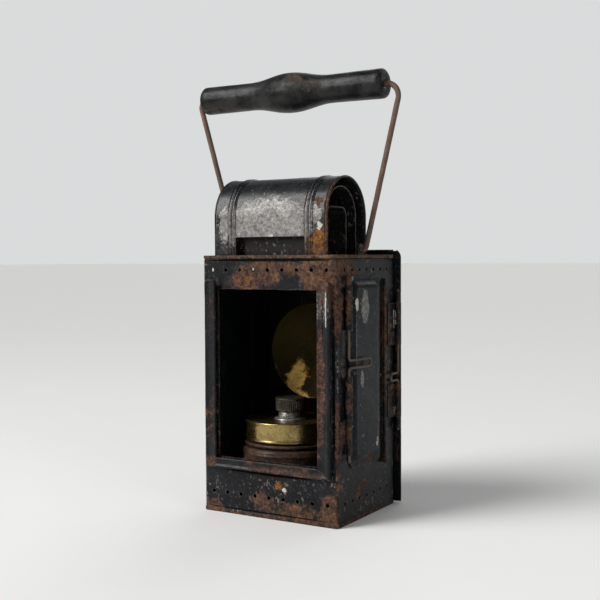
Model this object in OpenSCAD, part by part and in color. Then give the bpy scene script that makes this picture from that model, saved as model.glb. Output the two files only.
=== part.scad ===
// Hand lantern of folded sheet steel: sliding front window, sprung side shutters, rear door with a
// brass reflector, vented barrel hood, wire bail with a turned wooden grip, and an oil font inside.
// The origin is the middle of the base, on the surface that the lantern stands on. The window faces
// -Y, +X is to the right of a person who looks at the window, and +Z is up.

/* [Case] */
// Outside width of the case
case_w = 110; // [92:1:132]
// Outside depth of the case
case_d = 86; // [78:1:104]
// Height of the case walls
case_h = 181.5; // [155:0.5:218]
// Thickness of the sheet steel
sheet = 0.8; // [0.6:0.1:1]
// Outside radius of the folded corners of the case
corner_r = 1.5; // [1.2:0.1:3]
// Height of the turned-up rim of the top plate, above the walls
rim_h = 2.5; // [2:0.1:3]
// Height of the floor pan's turned-up flange
pan_flange_h = 8; // [5:0.5:10]
// Gap between pieces that nest or turn in each other
running_gap = 0.05; // [0.03:0.01:0.08]

/* [Vent holes] */
// Diameter of a vent hole
vent_d = 3; // [2:0.1:4]
// Vent holes in a row at the front
vent_count_front = 9; // [5:2:9]
// Pitch of the front vent holes
vent_pitch_front = 11.7; // [8:0.1:12]
// Vent holes in a row at a side
vent_count_side = 7; // [3:2:7]
// Pitch of the side vent holes
vent_pitch_side = 10.5; // [8:0.1:11]
// Height of the lower row above the base
vent_low_z = 14.8; // [12:0.1:20]
// Distance of the upper row below the top of the walls
vent_high_drop = 7.9; // [5:0.1:8]

/* [Front window] */
// Distance from the side of the case to the outer edge of a window channel
channel_margin = 4.2; // [3:0.1:8]
// Width of a side channel's front lip
channel_lip = 9.2; // [7:0.1:12]
// How far the channels stand off the front wall
channel_proud = 4; // [3.6:0.1:6]
// Radius of the hems along the channels
hem_r = 1; // [0.6:0.1:1.2]
// Height of the sill channel's lower edge above the base
sill_z = 33; // [28:0.5:38]
// Height of the sill channel's front lip
sill_lip = 7.3; // [6:0.1:10]
// Distance of the window's top edge below the top of the walls
window_top_drop = 21.3; // [19:0.1:30]
// How far the side channels rise above the window's top edge
channel_rise = 6.5; // [4:0.1:7]
// Thickness of the front glass
glass_t = 1.8; // [1.5:0.1:2]
// Gap round the front glass in its channels
glass_gap = 0.6; // [0.4:0.1:0.8]

/* [Side windows and shutters] */
// Distance from the case's middle to the front edge of a side window
side_window_front = 24; // [18:0.5:26]
// Distance from the case's middle to the rear edge of a side window
side_window_rear = 13; // [8:0.5:14]
// Height of a side window's lower edge above the base
side_window_z = 47; // [44:0.5:60]
// Distance of a side window's upper edge below the top of the walls
side_window_drop = 22; // [20:0.5:30]
// Thickness of the coloured side glass
side_glass_t = 2; // [1.5:0.1:2.5]
// Distance from the case's middle forward to the shutter's hinge axis
shutter_axis_front = 32; // [30:0.1:33]
// Distance from the case wall out to the hinge axes
hinge_stand = 2.9; // [2.9:0.05:3.4]
// Outside diameter of the tubes rolled on a shutter
shutter_tube_d = 5.1; // [4.6:0.1:5.2]
// Outside diameter of the knuckles fixed to the case
ear_d = 4.2; // [3.8:0.1:4.4]
// Diameter of the hinge wires
pin_d = 2; // [1.6:0.1:2.2]
// Height of the shutter's lower edge above the base
shutter_z = 38; // [34:0.5:42]
// Distance of the shutter's upper edge below the top of the walls
shutter_drop = 12.5; // [11:0.5:18]
// Distance from the case's middle to the shutter's free edge
shutter_rear = 17.5; // [16:0.5:19]
// Height of the raised field above the shutter's plate
field_h = 2.3; // [1:0.1:2.4]
// Width of the sloping border round the raised field
field_slope = 5; // [3:0.5:6]
// Distance from the case's middle to the strip that the shutter shuts beside
rest_y = 23.3; // [21:0.1:25]

/* [Rear door] */
// Distance from the case's rear face back to the door's hinge axis
door_axis_back = 0.9; // [0.8:0.1:1.5]
// Outside diameter of the tubes of the rear hinge straps
strap_tube_d = 4.8; // [4.2:0.1:5]
// Gap between the strap tubes and the door plate
door_gap = 0.35; // [0.3:0.05:0.6]
// Gap between the case's left wall and the door's side flange
door_side_gap = 1; // [0.8:0.1:2]
// Width of the strip of rear wall left at each side of the rear opening
rear_margin = 13; // [11:0.5:14]
// Radius of the door's upper corners
door_corner_r = 6; // [3:0.5:10]
// Height of the door's upper edge above the case walls
door_rise = 6.3; // [6:0.1:8]

/* [Reflector] */
// Radius of the reflector's rim
reflector_r = 36; // [26:0.5:37]
// Depth of the dish
reflector_depth = 13; // [9:0.5:15]
// Distance from the case's middle back to the rim
reflector_y = 18; // [17:0.5:20]
// Height of the dish's centre above the middle of the window
reflector_lift = 12.4; // [6:0.2:14]
// Thickness of the brass sheet
brass_t = 0.7; // [0.5:0.1:0.9]

/* [Hood] */
// Distance from the case's front face back to the hood
hood_front_gap = 2.8; // [2.5:0.1:5]
// Distance from the side of the case in to the hood's open end
hood_end_gap = 8.5; // [8.5:0.1:12]
// Outside radius of the hood's arch
hood_r = 27.9; // [24:0.1:33]
// Height of the hood's straight legs
hood_leg = 28.3; // [24:0.1:34]
// Distance between the outer and the inner arch
arch_gap = 6.5; // [4:0.1:7]
// Distance from the middle to a pair of beads
bead_x = 31.4; // [28:0.1:34]
// Height of the cut-outs at the foot of the hood
cutout_h = 14.4; // [8:0.1:18]
// Half the length of the cut-outs
cutout_half = 28.5; // [20:0.1:29]
// Width of the flue duct
flue_w = 28.6; // [20:0.1:32]
// Height of the flue duct
flue_h = 35.4; // [28:0.1:40]

/* [Bail and grip] */
// Diameter of the bail wire
wire_d = 4; // [3.6:0.1:4.2]
// Height of the bail's pivots above the case walls
pivot_rise = 5.5; // [5.4:0.1:7]
// Distance from the pivots up to the grip's axis
bail_reach = 113.5; // [90:0.5:137]
// Forward lean of the bail at rest, in degrees
bail_lean = 2.5; // [0:0.5:6]
// Length of the wooden grip
grip_len = 150.8; // [120:0.2:181]
// How far the grip sits to the left of the middle
grip_shift = 3; // [0:0.5:6]
// Diameter of the grip's ends
grip_end_d = 21; // [18:0.1:24]
// Diameter of the grip's necks
grip_neck_d = 20.2; // [16:0.1:22]
// Diameter of the grip's swell
grip_mid_d = 28.7; // [23:0.1:32]
// Bend radius of the wire at the left end of the grip
bend_left = 4.5; // [4:0.1:10]
// Bend radius of the wire at the right end of the grip
bend_right = 9; // [4:0.1:12]

/* [Oil font] */
// Distance of the font's axis to the left of the middle
font_left = 5.5; // [0:0.1:8]
// Distance of the font's axis in front of the middle
font_front = 5.5; // [3:0.1:6]
// Diameter of the tin tank
tank_d = 69; // [56:0.5:70]
// Height of the tank's shoulder above the base
tank_top = 46.7; // [38:0.1:56]
// Diameter of the brass band
band_d = 64; // [50:0.5:66]
// Height of the groove between the tank and the band
groove_h = 5; // [4:0.1:7]
// Height of the brass band
band_h = 13.9; // [10:0.1:16.7]
// Diameter over the thread of the burner neck
neck_d = 16.6; // [14:0.1:17.4]
// Pitch of the thread
thread_pitch = 1.25; // [1:0.05:1.5]
// Height of bare neck below the cap
neck_show = 5.6; // [4:0.1:7]
// Diameter of the knurled cap
cap_d = 20.7; // [20:0.1:24.9]
// Height of the cap
cap_h = 9.6; // [8:0.1:12]

/* [Hidden] */
$fn = 96;
japan_black = "#25272b";
rust_brown = "#5d3f30";
brass = "#a8873c";
tinned = "#b9b8b2";

// Overcut, so that a cutting solid runs clear of the face that it opens
over = 1;
half_w = case_w / 2;
half_d = case_d / 2;
plate_z = case_h + sheet;

// Front window
front_y = -half_d;
channel_out = half_w - channel_margin;
channel_in = channel_out - channel_lip;
lip_y = front_y - channel_proud;
sill_top = sill_z + sill_lip;
window_top = case_h - window_top_drop;
channel_top = window_top + channel_rise;
glass_half = channel_out - sheet - glass_gap;
glass_y = front_y - glass_gap;
glass_z = sill_z + sheet + glass_gap;
glass_top = window_top + channel_rise / 2;

// Side windows: the glass laps the opening, and the frame holds it against the wall from inside
side_lap = 3;
side_window_top = case_h - side_window_drop;
wall_inside = half_w - sheet;
side_glass_gap = 0.2;
frame_depth = side_glass_t + 2 * side_glass_gap;

// Shutters, as built on the right side and mirrored to the left
hinge_x = half_w + hinge_stand;
shutter_axis_y = -shutter_axis_front;
shutter_top = case_h - shutter_drop;
tube_r = shutter_tube_d / 2;
leaf_x = hinge_x - tube_r;
shutter_edge_y = shutter_axis_y + tube_r + 0.4;
pin_bore_r = pin_d / 2 + running_gap;
knuckle_gap = 0.6;
upper_tube_len = 30;
lower_tube_len = 29;
upper_tube_z = shutter_top - 6 - upper_tube_len;
lower_tube_z = shutter_z + 34;
upper_ear_z = upper_tube_z + upper_tube_len + knuckle_gap;
upper_ear_len = 6.4;
lower_ear_len = 23;
lower_ear_z = lower_tube_z - knuckle_gap - lower_ear_len;
hairpin_pitch = 5.2;
hairpin_z = (upper_tube_z + lower_tube_z + lower_tube_len) / 2 - 7;
hairpin_len = 25;
hairpin_tilt = 9;
wire_bend_r = 2.5;
pin_tail = 5;
field_front_y = shutter_axis_y + 6;
field_margin = 3;
rest_bead_r = 1.2;
rest_web_h = 2.4;

// Rear door
door_axis_y = half_d + door_axis_back;
strap_r = strap_tube_d / 2;
door_y = door_axis_y + strap_r + door_gap;
door_left = -half_w - door_side_gap - sheet;
door_right = hinge_x + sheet;
door_top = case_h + door_rise;
door_bottom = 1;
door_flange = 8;
rear_open_half = half_w - rear_margin;
rear_open_z = 12;
rear_open_top = case_h - 9.5;
door_knuckle_d = 3.8;
door_knuckle_len = 8;
upper_strap_len = 30.6;
lower_strap_len = 24;
upper_strap_z = case_h - 33 - upper_strap_len;
lower_strap_z = 65;
door_knuckle_zs = [
    lower_strap_z - knuckle_gap - door_knuckle_len,
    upper_strap_z + upper_strap_len + knuckle_gap
];
rear_hairpin_z = lower_strap_z + lower_strap_len + 5.5;
rear_hairpin_len = 12;

// Reflector: a spherical dish on a hat-shaped bracket
window_mid_z = (sill_top + window_top) / 2;
reflector_z = window_mid_z + reflector_lift;
dish_r = (reflector_r * reflector_r + reflector_depth * reflector_depth) / (2 * reflector_depth);
apex_y = reflector_y + reflector_depth;
bracket_r = 12;
bracket_flange_r = 17;

// Hood
hood_half = half_w - hood_end_gap;
hood_y = front_y + hood_front_gap + hood_r;
inner_r = hood_r - arch_gap;
inner_half = hood_half - 4.5;
flue_half = hood_half - 8.5;
flue_corner_r = 6;
flue_hole = [60, 20];
bead_r = 0.9;
bead_spacing = 2.8;
foot_w = 5;
flue_foot_gap = 2.1;
inner_foot_w = max(sheet, inner_r - flue_w / 2 - flue_foot_gap);

// Joints between the runs and the bends of a wire
joint_gap = 0.01;
joint_half = 0.1;
joint_swell = 0.03;

// Rivets
rivet_shank_r = 0.95;
rivet_hole_r = 1;
rivet_head_r = 1.6;
rivet_head_h = 1;
rivet_tail_r = 1.4;
rivet_tail_h = 0.5;
hood_rivet_x = (cutout_half + hood_half) / 2;
hood_rivet_y = hood_r - 3.2;
lug_rivet_y = 4.6;

// Bail
pivot_z = case_h + pivot_rise;
wire_r = wire_d / 2;
foot_x = half_w - 1;
foot_bend_r = 4;
lug_t = 1.6;
lug_x = hood_half + 2.5;
lug_rivet_x = lug_x + lug_t + rivet_head_r + 0.2;
pin_head_r = 2.9;
pin_head_t = 1.1;
grip_end_gap = 0.3;
grip_left_x = -grip_shift - grip_len / 2;
grip_right_x = -grip_shift + grip_len / 2;
grip_round = 5;
swell_half = 33;

// Font
font_x = -font_left;
font_y = -font_front;
floor_top = sheet;
seat_gap = 0.2;
band_z = tank_top + groove_h;
cover_top = band_z + band_h;
cap_z = cover_top + neck_show;
cap_top_t = 1.5;
gasket_t = 1;
neck_top = cap_z + cap_h - cap_top_t - gasket_t - running_gap;
neck_r = neck_d / 2;
neck_bore_r = neck_r - 2;
thread_depth = 0.5;
tube_outer_r = 3.5;
wick_r = 2.5;
knurl_count = 40;
knurl_r = 0.45;

// A flat outline with round corners, centred on the origin
module rounded_outline(w, d, r) {
    square([w - 2 * r, d], center = true);
    square([w, d - 2 * r], center = true);
    for (sx = [-1, 1], sy = [-1, 1])
        translate([sx * (w / 2 - r), sy * (d / 2 - r)])
            circle(r);
}

// An upright tube of sheet with the case's plan, grown outwards by grow
module case_tube(grow, h) {
    linear_extrude(h) difference() {
        rounded_outline(case_w + 2 * grow, case_d + 2 * grow, corner_r + grow);
        rounded_outline(case_w + 2 * grow - 2 * sheet, case_d + 2 * grow - 2 * sheet,
            corner_r + grow - sheet);
    }
}

// A block given by its lowest and highest corners
module block(low, high) {
    translate(low)
        cube(high - low);
}

// An upright cylinder at x, y, from z upwards
module post(x, y, z, r, h) {
    translate([x, y, z])
        cylinder(r = r, h = h);
}

// Builds on the right, or mirrors to the left
module on_side(side) {
    if (side > 0) children();
    else mirror([1, 0, 0]) children();
}

// Direction of the run from a to b, in degrees
function heading(a, b) = atan2(b[1] - a[1], b[0] - a[0]);

// Turn at point i of a wire, in degrees, positive to the left
function turn_at(pts, i) =
    let (t = heading(pts[i], pts[i + 1]) - heading(pts[i - 1], pts[i]))
    t > 180 ? t - 360 : t < -180 ? t + 360 : t;

// Length that the bend at point i takes from each of its two runs
function bend_trim(pts, radii, i) =
    i == 0 || i == len(pts) - 1 ? 0 : radii[i - 1] * tan(abs(turn_at(pts, i)) / 2);

// A short collar along X that joins a run of wire to a bend, a hair thicker than the wire
module wire_joint(d) {
    translate([-joint_half, 0, 0])
        rotate([0, 90, 0])
        cylinder(d = d + 2 * joint_swell, h = 2 * joint_half);
}

// A round wire along a flat path in the XY plane, with one bend radius for each inner point
module bent_wire(pts, radii, d) {
    for (i = [0 : len(pts) - 2]) {
        way = heading(pts[i], pts[i + 1]);
        cut = i == 0 ? 0 : bend_trim(pts, radii, i) + joint_gap;
        end_cut = i == len(pts) - 2 ? 0 : bend_trim(pts, radii, i + 1) + joint_gap;
        translate([pts[i][0], pts[i][1], 0])
            rotate([0, 0, way])
            translate([cut, 0, 0])
            rotate([0, 90, 0])
            cylinder(d = d, h = norm(pts[i + 1] - pts[i]) - cut - end_cut);
    }
    for (i = [1 : len(pts) - 2]) {
        turn = turn_at(pts, i);
        trim = bend_trim(pts, radii, i);
        translate([pts[i][0], pts[i][1], 0])
            rotate([0, 0, heading(pts[i - 1], pts[i])]) {
                translate([-trim, sign(turn) * radii[i - 1], 0])
                    rotate([0, 0, turn > 0 ? -90 : 90 + turn])
                    rotate_extrude(angle = abs(turn))
                    translate([radii[i - 1], 0])
                    circle(d = d);
                translate([-trim, 0, 0])
                    wire_joint(d);
                rotate([0, 0, turn])
                    translate([trim, 0, 0])
                    wire_joint(d);
            }
    }
}

// A rivet whose head sits on z = 0, with its shank through a stack of sheets below
module rivet(stack) {
    ball_r = (rivet_head_r * rivet_head_r + rivet_head_h * rivet_head_h) / (2 * rivet_head_h);
    intersection() {
        translate([0, 0, rivet_head_h - ball_r])
            sphere(ball_r);
        cylinder(r = rivet_head_r, h = rivet_head_h + over);
    }
    translate([0, 0, -stack])
        cylinder(r = rivet_shank_r, h = stack);
    translate([0, 0, -stack - rivet_tail_h])
        cylinder(r = rivet_tail_r, h = rivet_tail_h);
}

// A hole for a rivet's shank, through everything near z
module rivet_hole(z) {
    translate([0, 0, z - 2])
        cylinder(r = rivet_hole_r, h = 4);
}

module at_hood_rivets() {
    for (sx = [-1, 1], sy = [-1, 1])
        translate([sx * hood_rivet_x, hood_y + sy * hood_rivet_y, 0])
            children();
}

module at_lug_rivets(side) {
    for (sy = [-1, 1])
        translate([side * lug_rivet_x, sy * lug_rivet_y, 0])
            children();
}

module case_shell() {
    color(japan_black) difference() {
        case_tube(0, case_h);
        block([-channel_in, front_y - over, sill_top], [channel_in, front_y + 2, window_top]);
        block([-half_w - over, -side_window_front, side_window_z],
            [half_w + over, side_window_rear, side_window_top]);
        block([-rear_open_half, half_d - 2, rear_open_z], [rear_open_half, half_d + over, rear_open_top]);
        for (z = [vent_low_z, case_h - vent_high_drop]) {
            for (i = [0 : vent_count_front - 1])
                translate([(i - (vent_count_front - 1) / 2) * vent_pitch_front, front_y + 2, z])
                    rotate([90, 0, 0])
                    cylinder(d = vent_d, h = 2 + over);
            for (i = [0 : vent_count_side - 1])
                translate([-half_w - over, (i - (vent_count_side - 1) / 2) * vent_pitch_side, z])
                    rotate([0, 90, 0])
                    cylinder(d = vent_d, h = case_w + 2 * over);
        }
    }
}

module floor_pan() {
    fit = -sheet - running_gap;
    color(japan_black) union() {
        linear_extrude(sheet)
            rounded_outline(case_w + 2 * fit, case_d + 2 * fit, corner_r);
        linear_extrude(pan_flange_h) difference() {
            rounded_outline(case_w + 2 * fit, case_d + 2 * fit, corner_r);
            rounded_outline(case_w + 2 * fit - 2 * sheet, case_d + 2 * fit - 2 * sheet, corner_r - sheet);
        }
    }
}

module top_plate() {
    color(rust_brown) difference() {
        translate([0, 0, case_h]) union() {
            linear_extrude(sheet)
                rounded_outline(case_w, case_d, corner_r);
            case_tube(0, rim_h);
        }
        translate([0, hood_y, case_h])
            cube([flue_hole[0], flue_hole[1], 4], center = true);
        at_hood_rivets() rivet_hole(case_h);
        for (side = [-1, 1]) at_lug_rivets(side) rivet_hole(case_h);
    }
}

// The channel's front lip and its two hems, seen along the channel: inner edge at 0, outer at width
module channel_section(width) {
    square([width, sheet]);
    translate([width - sheet, 0])
        square([sheet, channel_proud]);
    for (x = [hem_r, width - hem_r])
        translate([x, hem_r - 0.7])
            circle(hem_r);
}

// Right side channel, mitred at the foot to meet the sill
module side_channel() {
    top_r = 3;
    color(rust_brown) intersection() {
        translate([channel_in, lip_y, sill_z])
            linear_extrude(channel_top - sill_z)
            channel_section(channel_lip);
        translate([0, front_y, 0])
            rotate([90, 0, 0])
            linear_extrude(channel_proud + over)
            union() {
                polygon([[channel_in, sill_top], [channel_out, sill_z],
                    [channel_out, channel_top - top_r], [channel_in, channel_top - top_r]]);
                translate([channel_in, channel_top - top_r])
                    square([channel_lip - top_r, top_r]);
                translate([channel_out - top_r, channel_top - top_r])
                    circle(top_r);
            }
    }
}

module window_channel_left() { on_side(-1) side_channel(); }
module window_channel_right() { on_side(1) side_channel(); }

module window_sill_channel() {
    color(rust_brown) intersection() {
        translate([-channel_out, lip_y, sill_top])
            rotate([0, 90, 0])
            linear_extrude(2 * channel_out)
            channel_section(sill_lip);
        translate([0, front_y, 0])
            rotate([90, 0, 0])
            linear_extrude(channel_proud + over)
            polygon([[-channel_out, sill_z], [channel_out, sill_z], [channel_in, sill_top],
                [-channel_in, sill_top]]);
    }
}

module front_glass() {
    color([0.85, 0.9, 0.88, 0.3])
        block([-glass_half, glass_y - glass_t, glass_z], [glass_half, glass_y, glass_top]);
}

// A frame inside the right wall: channels at both edges and the foot of the glass, open at the top
module side_frame() {
    lap = side_lap + side_glass_gap;
    low = [-side_window_front - lap, side_window_z - lap];
    high = [side_window_rear + lap, side_window_top + lap];
    lip = 2.4;
    color(japan_black) difference() {
        block([wall_inside - frame_depth - sheet, low[0] - sheet, low[1] - sheet],
            [wall_inside, high[0] + sheet, high[1]]);
        block([wall_inside - frame_depth, low[0], low[1]], [wall_inside + over, high[0], high[1] + over]);
        block([wall_inside - frame_depth - sheet - over, low[0] + lip, low[1] + lip],
            [wall_inside, high[0] - lip, high[1] + over]);
    }
}

module side_frame_left() { on_side(-1) side_frame(); }
module side_frame_right() { on_side(1) side_frame(); }

module side_glass() {
    x = wall_inside - side_glass_gap;
    block([x - side_glass_t, -side_window_front - side_lap, side_window_z - side_lap],
        [x, side_window_rear + side_lap, side_window_top + side_lap]);
}

module side_glass_left() { color([0.15, 0.45, 0.25, 0.5]) on_side(-1) side_glass(); }
module side_glass_right() { color([0.55, 0.08, 0.06, 0.5]) on_side(1) side_glass(); }

// A folded strip on the wall beside the shutter's free edge, with a round bead along its outer edge
module shutter_rest() {
    color(rust_brown) translate([0, 0, shutter_z - 4]) linear_extrude(shutter_top - shutter_z + 2) {
        translate([half_w, rest_y - sheet / 2])
            square([rest_web_h, sheet]);
        translate([half_w, rest_y - sheet / 2])
            square([sheet, foot_w + sheet]);
        translate([half_w + rest_web_h, rest_y])
            circle(rest_bead_r);
    }
}

module shutter_rest_left() { on_side(-1) shutter_rest(); }
module shutter_rest_right() { on_side(1) shutter_rest(); }

// The pressed field of a shutter, with four sloping sides; sink moves its faces in by a sheet's thickness
module shutter_field(sink) {
    slope_run = field_slope;
    y0 = field_front_y + sink;
    y1 = shutter_rear - field_margin - sink;
    z0 = shutter_z + field_margin + sink;
    z1 = shutter_top - field_margin - sink;
    x0 = leaf_x - (sink > 0 ? over : 0);
    x1 = leaf_x + sheet;
    x2 = x1 + field_h - sink;
    intersection() {
        translate([0, 0, z0])
            linear_extrude(z1 - z0)
            polygon([[x0, y0], [x1, y0], [x2, y0 + slope_run], [x2, y1 - slope_run], [x1, y1], [x0, y1]]);
        translate([0, y1, 0])
            rotate([90, 0, 0])
            linear_extrude(y1 - y0)
            polygon([[x0, z0], [x1, z0], [x2, z0 + slope_run], [x2, z1 - slope_run], [x1, z1], [x0, z1]]);
    }
}

// Outline of the shutter's plate, with its front corners cut away beside the hinge
module shutter_outline() {
    cut_y = field_front_y + 2;
    cut_z = 6;
    r = 2;
    polygon([[shutter_edge_y, shutter_z + cut_z], [cut_y, shutter_z], [shutter_rear - r, shutter_z],
        [shutter_rear, shutter_z + r], [shutter_rear, shutter_top - r], [shutter_rear - r, shutter_top],
        [cut_y, shutter_top], [shutter_edge_y, shutter_top - cut_z]]);
}

module shutter() {
    color(japan_black) difference() {
        union() {
            translate([leaf_x, 0, 0])
                rotate([90, 0, 90])
                linear_extrude(sheet)
                shutter_outline();
            shutter_field(0);
            for (t = [[lower_tube_z, lower_tube_len], [upper_tube_z, upper_tube_len]]) {
                post(hinge_x, shutter_axis_y, t[0], tube_r, t[1]);
                block([leaf_x, shutter_axis_y, t[0]], [leaf_x + sheet, shutter_edge_y + over, t[0] + t[1]]);
            }
        }
        shutter_field(sheet);
        post(hinge_x, shutter_axis_y, shutter_z - over, pin_bore_r, shutter_top - shutter_z + 2 * over);
    }
}

module shutter_left() { on_side(-1) shutter(); }
module shutter_right() { on_side(1) shutter(); }

// The hinge wire of a shutter; its hairpin lies over the raised field
module shutter_pin() {
    low = hairpin_z - hairpin_pitch / 2;
    high = hairpin_z + hairpin_pitch / 2;
    color(rust_brown) translate([hinge_x, shutter_axis_y, 0])
        rotate([0, 0, 90 - hairpin_tilt])
        rotate([90, 0, 0])
        bent_wire([[0, upper_ear_z + upper_ear_len + 1], [0, high], [hairpin_len, high],
            [hairpin_len, low], [0, low], [0, lower_ear_z - pin_tail]],
            [wire_bend_r, wire_bend_r, wire_bend_r, wire_bend_r], pin_d);
}

module shutter_pin_left() { on_side(-1) shutter_pin(); }
module shutter_pin_right() { on_side(1) shutter_pin(); }

// The knuckles on the case that a shutter's wire turns in
module shutter_ears() {
    neck_half = 1;
    color(rust_brown) for (t = [[lower_ear_z, lower_ear_len], [upper_ear_z, upper_ear_len]])
        difference() {
            union() {
                post(hinge_x, shutter_axis_y, t[0], ear_d / 2, t[1]);
                block([half_w, shutter_axis_y - neck_half, t[0]],
                    [hinge_x, shutter_axis_y + neck_half, t[0] + t[1]]);
                block([half_w, shutter_axis_y - 8, t[0]], [half_w + sheet, shutter_axis_y, t[0] + t[1]]);
            }
            post(hinge_x, shutter_axis_y, t[0] - over, pin_bore_r, t[1] + 2 * over);
        }
}

module shutter_ears_left() { on_side(-1) shutter_ears(); }
module shutter_ears_right() { on_side(1) shutter_ears(); }

// Outline of the rear door seen from the front, with round upper corners
module door_outline() {
    translate([door_left, door_bottom])
        square([door_right - door_left, door_top - door_corner_r - door_bottom]);
    translate([door_left + door_corner_r, door_top - 2 * door_corner_r])
        square([door_right - door_left - 2 * door_corner_r, 2 * door_corner_r]);
    for (x = [door_left + door_corner_r, door_right - door_corner_r])
        translate([x, door_top - door_corner_r])
            circle(door_corner_r);
}

// The turned flange seen from the front: along the door's left edge and its top, round the corner
module door_flange_outline() {
    corner = [door_left + door_corner_r, door_top - door_corner_r];
    translate([door_left, door_bottom])
        square([sheet, corner[1] - door_bottom]);
    translate([corner[0], door_top - sheet])
        square([door_right - 2 * door_corner_r - door_left, sheet]);
    intersection() {
        translate([door_left, corner[1]])
            square(door_corner_r);
        translate(corner) difference() {
            circle(door_corner_r);
            circle(door_corner_r - sheet);
        }
    }
}

module rear_door() {
    color(japan_black) difference() {
        union() {
            translate([0, door_y + sheet, 0])
                rotate([90, 0, 0])
                linear_extrude(sheet)
                door_outline();
            translate([0, door_y + sheet, 0])
                rotate([90, 0, 0])
                linear_extrude(door_flange)
                door_flange_outline();
            for (z = door_knuckle_zs) {
                post(hinge_x, door_axis_y, z, door_knuckle_d / 2, door_knuckle_len);
                block([door_right - sheet, door_axis_y, z],
                    [door_right, door_y + sheet, z + door_knuckle_len]);
            }
        }
        for (z = door_knuckle_zs)
            post(hinge_x, door_axis_y, z - over, pin_bore_r, door_knuckle_len + 2 * over);
        facing_window(door_y + sheet + over)
            at_bracket_rivets() cylinder(r = rivet_hole_r, h = 4);
    }
}

// The three rivets that hold the reflector's bracket, round the origin
module at_bracket_rivets() {
    for (a = [90 : 120 : 330])
        rotate([0, 0, a])
            translate([(bracket_r + bracket_flange_r) / 2 + 0.3, 0, 0])
            children();
}

module rear_hinge_straps() {
    color(rust_brown)
        for (t = [[lower_strap_z, lower_strap_len], [upper_strap_z, upper_strap_len]])
            difference() {
                union() {
                    post(hinge_x, door_axis_y, t[0], strap_r, t[1]);
                    block([half_w, half_d - 11, t[0]], [half_w + sheet, door_axis_y, t[0] + t[1]]);
                }
                post(hinge_x, door_axis_y, t[0] - over, pin_bore_r, t[1] + 2 * over);
            }
}

// The rear hinge wire; its short hairpin points forward along the side of the case
module rear_hinge_pin() {
    low = rear_hairpin_z - hairpin_pitch / 2;
    high = rear_hairpin_z + hairpin_pitch / 2;
    color(rust_brown) translate([hinge_x, door_axis_y, 0])
        rotate([0, 0, -90])
        rotate([90, 0, 0])
        bent_wire([[0, door_knuckle_zs[1] + door_knuckle_len + 1.5], [0, high], [rear_hairpin_len, high],
            [rear_hairpin_len, low], [0, low], [0, door_knuckle_zs[0] - 1.5]],
            [wire_bend_r, wire_bend_r, wire_bend_r, wire_bend_r], pin_d);
}

// Places children with their +Z along -Y, so that they face the window, at the reflector's apex
module facing_window(y) {
    translate([0, y, reflector_z])
        rotate([90, 0, 0])
        children();
}

module reflector() {
    rim_bead = 0.8;
    color(brass) facing_window(apex_y) difference() {
        union() {
            intersection() {
                translate([0, 0, dish_r]) difference() {
                    sphere(dish_r);
                    sphere(dish_r - brass_t);
                }
                cylinder(r = reflector_r, h = reflector_depth);
            }
            translate([0, 0, reflector_depth - rim_bead])
                rotate_extrude()
                translate([reflector_r - rim_bead, 0])
                circle(rim_bead);
        }
        translate([0, 0, -over])
            cylinder(r = rivet_hole_r, h = brass_t + 2 * over);
    }
}

module reflector_bracket() {
    depth = door_y - apex_y - running_gap;
    color(japan_black) facing_window(door_y) difference() {
        union() {
            cylinder(r = bracket_flange_r, h = sheet);
            cylinder(r = bracket_r, h = depth);
        }
        translate([0, 0, -over])
            cylinder(r = bracket_r - sheet, h = depth - sheet + over);
        cylinder(r = rivet_hole_r, h = depth + over);
        translate([0, 0, -over])
            at_bracket_rivets() cylinder(r = rivet_hole_r, h = 4);
    }
}

// One rivet through the dish's apex, and three through the bracket's flange and the door
module reflector_rivet() {
    color(brass) {
        facing_window(apex_y - brass_t - 0.1)
            rivet(brass_t + 0.1 + sheet + running_gap);
        facing_window(door_y - sheet)
            at_bracket_rivets() rivet(2 * sheet);
    }
}

// Outline of an arch with straight legs, standing on the X axis
module arch_outline(r, leg) {
    translate([-r, 0])
        square([2 * r, leg]);
    translate([0, leg])
        circle(r);
}

// An arched sheet over the hood's axis, from -half to half, with feet turned inwards
module arched_sheet(r, leg, half, foot) {
    translate([-half, hood_y, plate_z])
        rotate([90, 0, 90])
        linear_extrude(2 * half)
        difference() {
            arch_outline(r, leg);
            translate([-r + foot, -over])
                square([2 * (r - foot), leg + over]);
            translate([-r + sheet, sheet])
                square([2 * (r - sheet), leg - sheet]);
            translate([0, leg])
                circle(r - sheet);
        }
}

// A round bead over the hood at x
module arch_bead(x, r, leg) {
    translate([x, hood_y, plate_z + leg])
        rotate([90, 0, 90])
        rotate_extrude(angle = 180)
        translate([r, 0])
        circle(bead_r);
    for (side = [-1, 1])
        post(x, hood_y + side * r, plate_z, bead_r, leg);
}

module hood_outer() {
    bead_path_r = hood_r - sheet / 2;
    rim_x = hood_half - bead_r;
    color(japan_black) difference() {
        union() {
            arched_sheet(hood_r, hood_leg, hood_half, foot_w);
            for (x = [-rim_x, -bead_x - bead_spacing / 2, -bead_x + bead_spacing / 2,
                    bead_x - bead_spacing / 2, bead_x + bead_spacing / 2, rim_x])
                arch_bead(x, bead_path_r, hood_leg);
        }
        block([-cutout_half, hood_y - hood_r - 2, plate_z - over],
            [cutout_half, hood_y + hood_r + 2, plate_z + cutout_h]);
        at_hood_rivets() rivet_hole(plate_z);
    }
}

module hood_inner() {
    color(japan_black)
        arched_sheet(inner_r, hood_leg, inner_half, inner_foot_w);
}

// An inverted U of sheet with round upper corners, open at both ends
module flue_duct() {
    r = flue_corner_r;
    color(japan_black) translate([-flue_half, hood_y, plate_z])
        rotate([90, 0, 90])
        linear_extrude(2 * flue_half)
        difference() {
            flue_outline(flue_w, flue_h, r);
            flue_outline(flue_w - 2 * sheet, flue_h - sheet, r - sheet);
        }
}

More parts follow.
